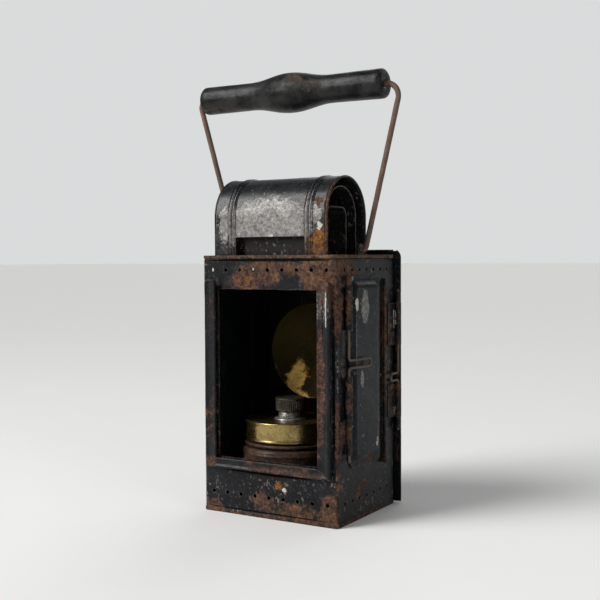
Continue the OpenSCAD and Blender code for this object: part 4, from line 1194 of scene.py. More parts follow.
@dataclass
class Case:
    """The folded case: walls with vent holes, floor, top plate with a rolled lip."""

    corner: float = 2.0
    window: tuple[Point2, Point2] = ((-41.6, 40.3), (41.6, 160.2))
    side_window: tuple[Point2, Point2] = ((-24.0, 47.0), (13.0, 159.5))
    rear_margin: float = 13.0
    rear_low: float = 12.0
    rear_high: float = 172.0
    vent: float = 1.5
    vent_heights: tuple[float, float] = (14.8, 173.6)
    front_vents: tuple[int, float] = (9, 11.7)
    side_vents: tuple[int, float] = (7, 10.5)
    flue_hole: Point2 = (60.0, 20.0)
    flue_y: float = -12.3
    lip_proud: float = 0.3

    def __post_init__(self) -> None:
        """Takes the case's size from the frame."""
        high = span("case_shell")[1]
        self.half_w, self.half_d, self.height = high.x, high.y, high.z
        self.flat_w = 2 * (self.half_w - self.corner)
        self.flat_d = 2 * (self.half_d - self.corner)
        self.turn = math.pi * self.corner / 2
        self.round = 2 * (self.flat_w + self.flat_d) + 4 * self.turn

    def wall_point(self, s: float, depth: float) -> tuple[Vector, Vector]:
        """Follows the wall round the case.

        Args:
            s: Distance from the middle of the rear wall, going left.
            depth: Distance below the outer face.

        Returns:
            The place in the plan, and the direction out of the wall.
        """
        ways = [Vector((0, 1, 0)), Vector((-1, 0, 0)), Vector((0, -1, 0)), Vector((1, 0, 0))]
        walls = [(self.flat_w, self.half_d), (self.flat_d, self.half_w)]
        s += self.flat_w / 2
        for k in range(5):
            out, way = ways[k % 4], ways[(k + 1) % 4]
            length, half = walls[k % 2]
            if s <= length:
                return out * (half - depth) + way * (s - length / 2), out
            s -= length
            if s <= self.turn:
                angle = s / self.corner
                centre = out * (half - self.corner) + way * (length / 2)
                swing = out * math.cos(angle) + way * math.sin(angle)
                return centre + swing * (self.corner - depth), swing
            s -= self.turn
        raise ValueError("a point past the end of the wall")

    def at(self, wall: str, offset: float) -> float:
        """The distance along the wall of a place on one of its sides.

        Args:
            wall: front, left or right.
            offset: X of the place on the front, or its Y on a side.

        Returns:
            The distance from the middle of the rear wall.
        """
        quarter = self.flat_w / 2 + self.turn
        if wall == "left":
            return quarter + self.flat_d / 2 - offset
        if wall == "front":
            return quarter + self.flat_d + self.turn + self.flat_w / 2 + offset
        return quarter + self.flat_d + 2 * self.turn + self.flat_w + self.flat_d / 2 + offset

    def pattern(self) -> SheetPattern:
        """The flat pattern of the four walls.

        Returns:
            The pattern, with its window, side windows and vent holes.
        """
        gap, foot, head = 0.15, 0.0, self.height
        edge = self.half_w - self.rear_margin
        low, high, far = self.rear_low, self.rear_high, self.round
        half = [(gap, head), (gap, high), (edge, high), (edge, low), (gap, low), (gap, foot)]
        outline = half[-1:] + [(far - u, v) for u, v in half[::-1]] + half[:-1]
        front = self.at("front", 0.0)
        (x0, z0), (x1, z1) = self.window
        frame_corners = [(x0, z0), (x1, z0), (x1, z1), (x0, z1), (x0, z0)]
        ragged = [(x + front, z + 0.3 * ripple(Vector((x, 0, z)), 9, 2))
                  for a, b in zip(frame_corners, frame_corners[1:]) for x, z in run_between(a, b, 2.4)]
        holes = [ragged]
        (y0, z0), (y1, z1) = self.side_window
        for wall in ("left", "right"):
            s0, s1 = sorted((self.at(wall, y0), self.at(wall, y1)))
            holes.append([(s0, z0), (s1, z0), (s1, z1), (s0, z1)])
        for wall, (count, pitch) in (("front", self.front_vents), ("left", self.side_vents),
                                     ("right", self.side_vents)):
            for z in self.vent_heights:
                for i in range(count):
                    middle = (self.at(wall, (i - (count - 1) / 2) * pitch), z)
                    r = self.vent * (1 + 0.05 * ripple(Vector((middle[0], z, 0)), 3, 1))
                    holes.append(arc(middle, r, 0, 342, 18))
        corners = [s + k * self.turn / 4 for s in (self.flat_w / 2, self.flat_w / 2 + self.turn + self.flat_d,
                   self.flat_w * 1.5 + 2 * self.turn + self.flat_d,
                   self.flat_w * 1.5 + 3 * self.turn + 2 * self.flat_d) for k in range(5)]
        columns = sorted(corners + [s for s in spaced(gap, far - gap, 2.6)
                                    if min(abs(s - c) for c in corners) > 0.9])
        rows = [0.6, 1.2, 1.8, 2.4, 3.0] + spaced(4.4, head - 2.6, 2.6) + [head - 1.6, head - 1.1, head - 0.6]
        return SheetPattern(outline, holes, 2.6, columns, rows)

    def fold(self, s: float, z: float, depth: float) -> Vector:
        """Bends a pattern point of the walls into place, with the dents of long use.

        Args:
            s: Distance along the wall.
            z: Height.
            depth: Distance below the outer face.

        Returns:
            The place.
        """
        place, out = self.wall_point(min(max(s, 0.0), self.round), depth)
        flat = Vector((place.x, place.y, z))
        along, half = (flat.x, self.half_w) if abs(out.y) > 0.9 else (flat.y, self.half_d)
        calm = min(1.0, abs(abs(along) - half) / 6 + 0.15)
        wave = sheet_wave(flat, 0.3, 1.0) * calm
        hem = 0.5 * math.exp(-((z - 1.5) / 1.1) ** 4) - 0.5 * math.exp(-((z - self.height) / 0.9) ** 4)
        return flat + out * (wave + hem - 0.16)

    def build_shell(self) -> None:
        """Builds the walls."""
        shell = self.pattern().shape(self.fold, back_finish=1)
        piece = shell.make("case_walls", [Finishes.case, Finishes.inside])
        settle(piece, "case", "japanned_case", "case_shell")

    def build_top(self) -> None:
        """Builds the top plate and the rolled lip round it."""
        low, high = span("top_plate")
        w, d = self.half_w - 0.9, self.half_d - 0.9
        (fw, fd), fy = self.flue_hole, self.flue_y
        hole = rounded_box((-fw / 2, fy - fd / 2), (fw / 2, fy + fd / 2), 1.0)
        plate = SheetPattern(rounded_box((-w, -d), (w, d), 1.5), [hole], 3.4).shape(
            lambda x, y, depth: Vector((x, y, low.z + SHEET - depth + sheet_wave(Vector((x, y, 5)), 0.1, 6))))
        w, d = self.half_w - 0.55, self.half_d - 0.55
        path = rounded_box((-w, -d), (w, d), 1.6)
        path = SheetPattern(path, step=3.0).fine_loop(path)
        half_h = (high.z - low.z) / 2 - 0.06
        section = [(0.58 * math.copysign(abs(math.cos(a)) ** 0.7, math.cos(a)),
                    half_h * math.copysign(abs(math.sin(a)) ** 0.7, math.sin(a)))
                   for a in (2 * math.pi * i / 14 for i in range(14))]
        frames = []
        for i, p in enumerate(path):
            way = Vector(path[(i + 1) % len(path)]) - Vector(path[i - 1])
            out = Vector((way.y, -way.x, 0)).normalized()
            here = Vector((p[0], p[1], low.z + half_h + 0.06))
            here += out * 0.12 * ripple(here, 14, 3) + Vector((0, 0, 0.1 * ripple(here, 19, 5) - 0.02))
            frames.append((here + out * self.lip_proud, out, Vector((0, 0, 1))))
        piece = plate.join(sweep(section, frames, closed=True)).make("top_plate_lipped", [Finishes.top])
        settle(piece, "case", "rusty_top", "top_plate")

    def build(self) -> None:
        """Builds the case and dresses its floor."""
        self.build_shell()
        self.build_top()
        dress_node("floor_pan", Finishes.inside)
        for side in Side:
            dress_node(f"side_frame_{side.label}", Finishes.inside)
        dress_node("side_glass_left", Finishes.green)
        dress_node("side_glass_right", Finishes.red)


@dataclass
class WindowFrame:
    """The hemmed channels round the front window, and the glass that slides in them."""

    lip: float = 9.2
    sill_lip: float = 7.3
    stand: float = 4.0
    hem: float = 0.95
    top_round: float = 3.0

    def __post_init__(self) -> None:
        """Takes the places of the channels from the frame."""
        low, high = span("window_channel_right")
        self.inner, self.top = low.x, high.z
        self.foot = low.z
        self.front = high.y - self.stand

    def section(self, width: float) -> Loop:
        """A channel's section: across its lip, and in from its front."""
        h = self.hem
        return (arc((h, 0.25), h, 55, 300, 24) + [(2.4, 0.05), (width / 2, 0.22), (width - 2.4, 0.05)]
                + arc((width - h, 0.25), h, 240, 360, 24)
                + [(width, self.stand - 0.05), (width - SHEET, self.stand - 0.05), (width - SHEET, 1.5),
                   (width - 2.2, SHEET + 0.1), (2.2, SHEET + 0.1)])

    def shape(self, width: float, place: Callable[[float, float], Vector], count: int, seed: float) -> Shape:
        """Draws a channel's section along its run.

        Args:
            width: Width of the lip.
            place: Gives the place of a point across the lip, for a share of the run.
            count: Number of stations.
            seed: Shifts the unevenness.

        Returns:
            The channel.
        """
        section = self.section(width)
        points = []
        for k in range(count + 1):
            for u, v in section:
                p = place(u, k / count)
                bend = 0.22 * ripple(p, 17, seed) * (1 - v / self.stand) + 0.1 * ripple(p, 5, seed)
                points.append(p + Vector((0, self.front + v - 0.1 + max(bend, -0.35), 0)))
        faces = skin_faces(count + 1, len(section), capped=True)
        return Shape(points, faces, [0] * len(faces))

    def side_place(self, u: float, share: float) -> Vector:
        """Place of a point of the right channel, mitred at its foot and rounded at its outer top corner.

        Args:
            u: Distance across the lip.
            share: Share of the run.

        Returns:
            The place.
        """
        foot = self.foot + self.sill_lip * (1 - u / self.lip)
        over = max(0.0, u - (self.lip - self.top_round))
        top = self.top - self.top_round + math.sqrt(max(0.0, self.top_round ** 2 - over ** 2))
        return Vector((self.inner + u, 0, foot + (top - foot) * share))

    def sill_place(self, u: float, share: float) -> Vector:
        """Place of a point of the sill channel, mitred at both ends."""
        half = self.inner + u * self.lip / self.sill_lip
        return Vector((-half + 2 * half * share, 0, self.foot + self.sill_lip - u))

    def build(self) -> None:
        """Builds the three channels and dresses the glass."""
        for side in Side:
            shape = self.shape(self.lip, self.side_place, 54, 3.0 + side.value).mirrored(side)
            piece = shape.make(f"channel_{side.label}", [Finishes.channel], 60)
            settle(piece, "case", "rusty_channel", f"window_channel_{side.label}")
        sill = self.shape(self.sill_lip, self.sill_place, 44, 7.0)
        piece = sill.make("channel_sill", [Finishes.channel], 60)
        settle(piece, "case", "rusty_channel", "window_sill_channel")
        dress_node("front_glass", Finishes.clear)


# ---- shutters and door


@dataclass
class Shutters:
    """The two side shutters with rolled hinge tubes, their knuckles, sprung wires and rest strips."""

    axis_y: float = -32.0
    axis_x: float = 57.9
    tube: float = 2.55
    knuckle: float = 2.1
    pin: float = 1.0
    field_rise: float = 2.3
    field_slope: float = 3.4
    field_margin: float = 3.0
    field_front: float = -26.0
    field_corner: float = 7.0
    tubes: tuple[Point2, ...] = ((72.0, 101.0), (133.0, 163.0))
    knuckles: tuple[Point2, ...] = ((48.4, 71.4), (163.6, 170.0))
    hairpin: Point3 = (110.0, 5.2, 25.0)
    hairpin_tilt: float = 9.0
    rest_y: float = 23.3

    def __post_init__(self) -> None:
        """Takes the shutter's extent from the frame."""
        low, high = span("shutter_right")
        self.low_z, self.high_z, self.rear = low.z, high.z, high.y
        self.wall = span("case_shell")[1].x
        self.leaf = self.axis_x - self.tube
        self.front = self.axis_y + self.tube + 0.4

    def rise(self, y: float, z: float) -> float:
        """Height of the pressed field above the plate.

        Args:
            y: Place across the plate.
            z: Its height.

        Returns:
            The height.
        """
        dy = min(y - self.field_front, self.rear - self.field_margin - y)
        dz = min(z - self.low_z - self.field_margin, self.high_z - self.field_margin - z)
        inset, corner = min(dy, dz), self.field_corner
        if inset >= 0 and max(dy, dz) <= corner:
            inset = corner - math.hypot(corner - dy, corner - dz)
        t = min(1.0, max(0.0, inset / self.field_slope))
        return self.field_rise * t * t * (3 - 2 * t)

    def plate(self) -> Shape:
        """The right shutter's plate with its pressed field.

        Returns:
            The plate.
        """
        cut_y, cut_z, r = self.field_front + 2, 6.0, 2.0
        outline = ([(self.front, self.low_z + cut_z), (cut_y, self.low_z)]
                   + arc((self.rear - r, self.low_z + r), r, -90, 0, 30)
                   + arc((self.rear - r, self.high_z - r), r, 0, 90, 30)
                   + [(cut_y, self.high_z), (self.front, self.high_z - cut_z)])
        face = self.leaf + SHEET

        def fold(y: float, z: float, depth: float) -> Vector:
            """Stands a pattern point up beside the wall.

            Args:
                y: Place across the pattern.
                z: Height.
                depth: Distance below the outer face.

            Returns:
                The place.
            """
            flat = Vector((face, y, z))
            calm = min(1.0, (y - self.front) / 8 + 0.1)
            lift = self.rise(y, z) + sheet_wave(flat, 0.16, 9) * max(0.0, calm)
            return Vector((face - depth + lift, y, z))

        return SheetPattern(outline, [], 1.7).shape(fold)

    def rolled_tube(self) -> Loop:
        """Section of the edge of the plate rolled round the wire.

        Returns:
            The closed loop.
        """
        middle = (self.axis_x, self.axis_y)
        end = self.front + 0.3
        return ([(self.leaf + 0.02, end)] + arc(middle, self.tube - 0.04, 180, 468, 12)
                + arc(middle, self.tube - SHEET, 468, 180, 12) + [(self.leaf + SHEET, end)])

    def rolled_knuckle(self) -> Loop:
        """Section of a knuckle: a leaf on the wall that rolls round the wire."""
        middle, r = (self.axis_x, self.axis_y), self.knuckle
        return ([(self.wall + 0.02, self.axis_y - 8), (self.wall + SHEET, self.axis_y - 8),
                 (self.wall + SHEET, self.axis_y - 0.92)] + arc(middle, r, 206, 512, 12)
                + arc(middle, r - 0.75, 512, 206, 12)
                + [(self.wall + SHEET, self.axis_y - 0.2), (self.wall + 0.02, self.axis_y - 0.2)])

    def wire_path(self) -> list[Vector]:
        """Middle line of the right shutter's wire, with its hairpin over the field.

        Returns:
            Points from its top to its foot.
        """
        out = math.radians(self.hairpin_tilt)
        line = hairpin_line(self.hairpin, self.knuckles[1][1] + 1, self.knuckles[0][0] - 5)
        return [Vector((self.axis_x + u * math.sin(out), self.axis_y + u * math.cos(out), v))
                for u, v in line]

    def rest(self) -> Shape:
        """The right rest strip: a web on the wall with a bead along its outer edge.

        Returns:
            The strip.
        """
        low, high = span("shutter_rest_right")
        wall, y = self.wall + 0.02, self.rest_y
        bead = arc((wall + 2.35, y), 1.16, 205, 515, 20)
        section = ([(wall, y - 0.4), (wall + 1.3, y - 0.4)] + bead
                   + [(wall + 1.1, y + 0.4), (wall + SHEET, y + 0.7), (wall + SHEET, y + 5.3),
                      (wall, y + 5.3)])
        return upright(section, low.z + 0.1, high.z - 0.1, 0.1, 12)

    def build(self) -> None:
        """Builds both sides."""
        plate, tubes = self.plate(), Shape()
        for low, high in self.tubes:
            tubes.join(upright(self.rolled_tube(), low, high, 0.04, 4))
        shutter = plate.join(tubes)
        ears = Shape()
        for low, high in self.knuckles:
            ears.join(upright(self.rolled_knuckle(), low, high, 0.04, 8))
        pin = wire(self.wire_path(), self.pin - 0.01, 0.05, 3)
        rest = self.rest()
        for side in Side:
            end, body = side.label, f"shutter_{side.label}"
            for shape, name, finish, rides, node in (
                    (shutter, "side_shutter", Finishes.shutter, body, "shutter"),
                    (pin, "sprung_wire", Finishes.wire, body, "shutter_pin"),
                    (ears, "knuckles", Finishes.strip, "case", "shutter_ears"),
                    (rest, "rest_strip", Finishes.strip, "case", "shutter_rest")):
                piece = shape.mirrored(side).make(f"{name}_{end}", [finish])
                settle(piece, rides, finish.slot, f"{node}_{end}")


@dataclass
class RearDoor:
    """The rear door with its turned flange, its hinge, and the reflector on its bracket."""

    corner: float = 6.0
    flange: float = 8.0
    axis_x: float = 57.9
    axis_y: float = 43.9
    strap: float = 2.4
    knuckle: float = 1.9
    straps: tuple[Point2, ...] = ((65.0, 89.0), (117.9, 148.5))
    knuckles: tuple[Point2, ...] = ((56.4, 64.4), (149.1, 157.1))
    hairpin: Point3 = (94.5, 5.2, 12.0)
    dish: float = 36.0
    dish_depth: float = 13.0
    dish_sheet: float = 0.7

    def __post_init__(self) -> None:
        """Takes the door's extent from the frame."""
        low, high = span("rear_door")
        self.left, self.foot, self.top, self.back = low.x, low.z, high.z, high.y
        self.right = self.axis_x + SHEET
        self.wall = span("case_shell")[1].x

    def door(self) -> Shape:
        """The door's plate, its flange and its knuckles.

        Returns:
            The door.
        """
        r, fold_r = self.corner, 1.3
        x0, z1, inner = self.left + fold_r, self.top - fold_r, r - fold_r
        outline = ([(x0, self.foot), (self.right, self.foot)]
                   + arc((self.right - r, self.top - r), r, 0, 60, 15)
                   + [(self.right - inner, z1)] + arc((x0 + inner, z1 - inner), inner, 90, 180, 15))

        def lay(x: float, z: float, depth: float) -> Vector:
            """Stands a pattern point up behind the case."""
            return Vector((x, self.back - 0.12 - depth + sheet_wave(Vector((x, 80, z)), 0.12, 14), z))

        plate = SheetPattern(outline, [], 3.2).shape(lay)
        section = [(-fold_r - 0.2, -0.14), (-fold_r - 0.2, -SHEET - 0.08), (-SHEET - 0.5, -SHEET - 0.1),
                   (-SHEET, -SHEET - 0.6), (-SHEET, -self.flange + 0.35), (-SHEET / 2, -self.flange + 0.02),
                   (-0.05, -self.flange + 0.3), (-0.05, -1.1), (-0.35, -0.4), (-1.0, -0.08)]
        path = run_between((self.left, self.foot - 0.01), (self.left, self.top - r), 3.0)
        path = [(self.left, self.foot)] + path + arc((self.left + r, self.top - r), r, 180, 90, 12)[1:]
        path += run_between(path[-1], (self.right - r, self.top), 3.0)
        frames = []
        for i, p in enumerate(path):
            way = Vector(path[min(i + 1, len(path) - 1)]) - Vector(path[max(i - 1, 0)])
            out = Vector((-way.y, 0, way.x)).normalized()
            here = Vector((p[0], self.back, p[1]))
            frames.append((here - out * (0.12 + 0.1 * ripple(here, 20, 2)), out, Vector((0, 1, 0))))
        shape = plate.join(sweep(section, frames))
        middle, x, r = (self.axis_x, self.axis_y), self.right, self.knuckle
        roll = ([(x - SHEET, self.back - 0.9), (x - 0.02, self.back - 0.9), (x - 0.02, self.axis_y + 1.72)]
                + arc(middle, r, 65, -225, 12) + arc(middle, r - 0.7, -225, 65, 12)
                + [(x - SHEET, self.axis_y + 1.75)])
        for low, high in self.knuckles:
            shape.join(upright(roll, low, high, 0.02, 3))
        return shape

    def strap_section(self) -> Loop:
        """Section of a hinge strap: a leaf on the wall that rolls round the wire."""
        middle, r, wall = (self.axis_x, self.axis_y), self.strap, self.wall
        return ([(wall + 0.02, self.axis_y - 11.8), (wall + 0.02, self.axis_y + 0.25)]
                + arc(middle, r - 0.02, 174, -148, 12) + arc(middle, r - SHEET, -148, 174, 12)
                + [(wall + SHEET, self.axis_y - 0.3), (wall + SHEET, self.axis_y - 11.8)])

    def wire_path(self) -> list[Vector]:
        """Middle line of the rear hinge wire."""
        line = hairpin_line(self.hairpin, self.knuckles[1][1] + 1.5, self.knuckles[0][0] - 1.5)
        return [Vector((self.axis_x, self.axis_y - u, v)) for u, v in line]

    def reflector(self) -> Shape:
        """The dish, facing the window, a little uneven from the hammer.

        Returns:
            The dish.
        """
        low, high = span("reflector")
        middle_z, apex = (low.z + high.z) / 2, high.y
        ball = (self.dish ** 2 + self.dish_depth ** 2) / (2 * self.dish_depth)
        hollow = ball - self.dish_sheet
        front = [(r, hollow - math.sqrt(max(0.0, hollow ** 2 - r * r)) + self.dish_sheet)
                 for r in spaced(1.0, self.dish - 1.1, 1.3)]
        rim = arc((self.dish - 0.8, self.dish_depth - 0.8), 0.78, 190, -60, 25)
        back = [(r, ball - math.sqrt(ball * ball - r * r)) for r in spaced(1.0, self.dish - 1.2, 1.8)[::-1]]
        dish = lathe(front + rim + back, 120)

        def press(p: Vector) -> Vector:
            """Faces a point of the turned dish forward, and dents it.

            Args:
                p: The point.

            Returns:
                The place.
            """
            dent = 0.16 * ripple(p, 9, 2) + 0.1 * ripple(p, 4, 6)
            edge = min(1.0, max(0.0, (self.dish - 1.5 - math.hypot(p.x, p.y)) / 4))
            return Vector((p.x, apex - p.z - max(0.0, 0.2 + dent) * edge * 0.9, middle_z + p.y))

        return dish.moved(press)

    def build(self) -> None:
        """Builds the door, its hinge and the reflector."""
        settle(self.door().make("back_door", [Finishes.door]), "rear_door", "japanned_door", "rear_door")
        straps = Shape()
        for low, high in self.straps:
            straps.join(upright(self.strap_section(), low, high, 0.03, 5))
        settle(straps.make("hinge_straps", [Finishes.strip]), "case", "rusty_strip", "rear_hinge_straps")
        pin = wire(self.wire_path(), 0.99, 0.05, 6)
        settle(pin.make("hinge_wire", [Finishes.wire]), "case", "rusty_wire", "rear_hinge_pin")
        dish = self.reflector().make("dish", [Finishes.reflector], 70)
        settle(dish, "rear_door", "reflector_brass", "reflector")
        dress_node("reflector_bracket", Finishes.inside, 0.2)
        dress_node("reflector_rivet", Finishes.reflector)


# ---- hood


@dataclass
class Hood:
    """The barrel hood: an outer sheet with pressed beads and wired rims, an inner one, and the flue."""

    leg: float = 28.3
    radius: float = 27.9
    inner_radius: float = 21.4
    beads: tuple[float, ...] = (-32.8, -30.0, 30.0, 32.8)
    bead_rise: float = 0.95
    foot: float = 5.0
    cutout_half: float = 28.5
    cutout_height: float = 14.4
    rim_wire: float = 0.9
    flue_width: float = 28.6
    flue_corner: float = 6.0

    def __post_init__(self) -> None:
        """Takes the hood's place from the frame."""
        low, high = span("hood_outer")
        self.half, self.base, self.middle = high.x, low.z, (low.y + high.y) / 2
        self.inner_half = span("hood_inner")[1].x
        low, high = span("flue_duct")
        self.flue_half, self.flue_height = high.x, high.z - low.z

    def arch_point(self, radius: float, s: float) -> tuple[Vector, Vector]:
        """Follows an arch from its front foot over the top to its rear foot.

        Args:
            radius: Radius of the arch.
            s: Distance from the foot of the front leg. Below 0 it runs along the turned-in foot.

        Returns:
            The place, with X at 0, and the direction out of the sheet.
        """
        over = math.pi * radius
        total = 2 * self.leg + over
        if s > total / 2:
            place, out = self.arch_point(radius, total - s)
            return Vector((0, 2 * self.middle - place.y, place.z)), Vector((0, -out.y, out.z))
        bend = 1.0
        if s >= self.leg:
            turn = (s - self.leg) / radius
            out = Vector((0, -math.cos(turn), math.sin(turn)))
            return Vector((0, self.middle, self.base + self.leg)) + out * radius, out
        if s >= bend:
            return Vector((0, self.middle - radius, self.base + s)), Vector((0, -1, 0))
        if s > -bend:
            turn = (bend - s) / (2 * bend) * math.pi / 2
            out = Vector((0, -math.cos(turn), -math.sin(turn)))
            return Vector((0, self.middle - radius + bend, self.base + bend)) + out * bend, out
        return Vector((0, self.middle - radius - s, self.base)), Vector((0, 0, -1))

    def wrap(self, radius: float, wave: float, seed: float, extra: Callable[[float], float]) -> Fold:
        """A fold that lays a pattern over an arch.

        Args:
            radius: Radius of the arch.
            wave: Height of the sheet's unevenness.
            seed: Shifts the unevenness.
            extra: Gives the height of pressed beads at an X.

        Returns:
            The fold.
        """
        def fold(x: float, s: float, depth: float) -> Vector:
            """Lays a pattern point on the arch.

            Args:
                x: Place along the hood.
                s: Distance along the arch.
                depth: Distance below the outer face.

            Returns:
                The place.
            """
            place, out = self.arch_point(radius, s)
            flat = Vector((x, place.y, place.z))
            calm = min(1.0, max(0.0, (place.z - self.base) / 10))
            lift = (sheet_wave(flat, wave, seed) - wave * 0.6) * calm + (extra(x) if out.z >= -0.01 else 0.0)
            return flat + out * (lift - depth)

        return fold

    def bead(self, x: float) -> float:
        """Height of the pressed beads at an X."""
        return sum(self.bead_rise * math.exp(-((x - b) / 0.75) ** 2) for b in self.beads)

    def outer(self) -> Shape:
        """The outer sheet with its cut-outs and wired rims.

        Returns:
            The sheet.
        """
        total = 2 * self.leg + math.pi * self.radius
        f, half, c, h = -self.foot, self.half - 0.3, self.cutout_half, self.cutout_height
        r = 1.5
        front = arc((-c + r, h - r), r, 180, 90, 30) + arc((c - r, h - r), r, 90, 0, 30)
        rear = arc((c - r, total - h + r), r, 0, -90, 30) + arc((-c + r, total - h + r), r, 270, 180, 30)
        outline = ([(-half, f), (-c, f)] + front
                   + [(c, f), (half, f), (half, total - f), (c, total - f)] + rear
                   + [(-c, total - f), (-half, total - f)])
        fine = [b + k * 0.4 for b in (-31.4, 31.4) for k in range(-9, 10)]
        columns = sorted(fine + [x for x in spaced(-half, half, 2.4) if min(abs(x - b) for b in fine) > 1.0])
        sheet = SheetPattern(outline, [], 2.4, columns).shape(self.wrap(self.radius, 0.22, 16, self.bead), 1)
        for side in Side:
            path = []
            for s in spaced(0.9, total - 0.9, 2.0):
                place, out = self.arch_point(self.radius, s)
                path.append(place + Vector((side.value * (self.half - self.rim_wire), 0, 0)) - out * 0.42)
            sheet.join(wire(path, self.rim_wire, 0.06, 9 + side.value))
        return sheet

    def inner(self) -> Shape:
        """The inner sheet.

        Returns:
            The sheet.
        """
        total = 2 * self.leg + math.pi * self.inner_radius
        f, half = -self.foot, self.inner_half - 0.2
        outline = [(-half, f), (half, f), (half, total - f), (-half, total - f)]
        return SheetPattern(outline, [], 2.6).shape(self.wrap(self.inner_radius, 0.25, 19, lambda x: 0.0))

    def flue_fold(self, x: float, s: float, depth: float) -> Vector:
        """Lays a pattern over the flue, from its front foot over its flat top to its rear foot.

        Args:
            x: Place along the flue.
            s: Distance from the front foot.
            depth: Distance below the outer face.

        Returns:
            The place.
        """
        r, half, height = self.flue_corner, self.flue_width / 2, self.flue_height
        leg, turn, flat = height - r, math.pi * r / 2, 2 * (half - r)
        total = 2 * (leg + turn) + flat
        mirror = s > total / 2
        if mirror:
            s = total - s
        if s <= leg:
            place, out = Vector((x, -half, s)), Vector((0, -1, 0))
        elif s <= leg + turn:
            a = (s - leg) / r
            out = Vector((0, -math.cos(a), math.sin(a)))
            place = Vector((x, -half + r, leg)) + out * r
        else:
            place, out = Vector((x, -half + r + s - leg - turn, height)), Vector((0, 0, 1))
        wave = sheet_wave(place + Vector((0, 60 if mirror else 0, 0)), 0.12, 22) - 0.08
        place = place + out * (wave - depth)
        return Vector((place.x, self.middle + (-place.y if mirror else place.y), self.base + place.z))

    def flue(self) -> Shape:
        """The flue's inverted channel.

        Returns:
            The channel.
        """
        r, half = self.flue_corner, self.flue_width / 2
        total = 2 * (self.flue_height - r + math.pi * r / 2) + 2 * (half - r)
        end = self.flue_half - 0.2
        return SheetPattern([(-end, 0), (end, 0), (end, total), (-end, total)], [], 2.2).shape(self.flue_fold)

    def build(self) -> None:
        """Builds the hood."""
        outer = self.outer().make("hood_sheet", [Finishes.hood, Finishes.hood_inside])
        settle(outer, "case", "worn_hood", "hood_outer")
        settle(self.inner().make("hood_lining", [Finishes.hood_inside]), "case", "worn_hood", "hood_inner")
        settle(self.flue().make("flue", [Finishes.hood_inside]), "case", "worn_hood", "flue_duct")
        dress_node("hood_rivets", Finishes.strip)
        dress_node("lug_rivets", Finishes.strip)


# ---- bail


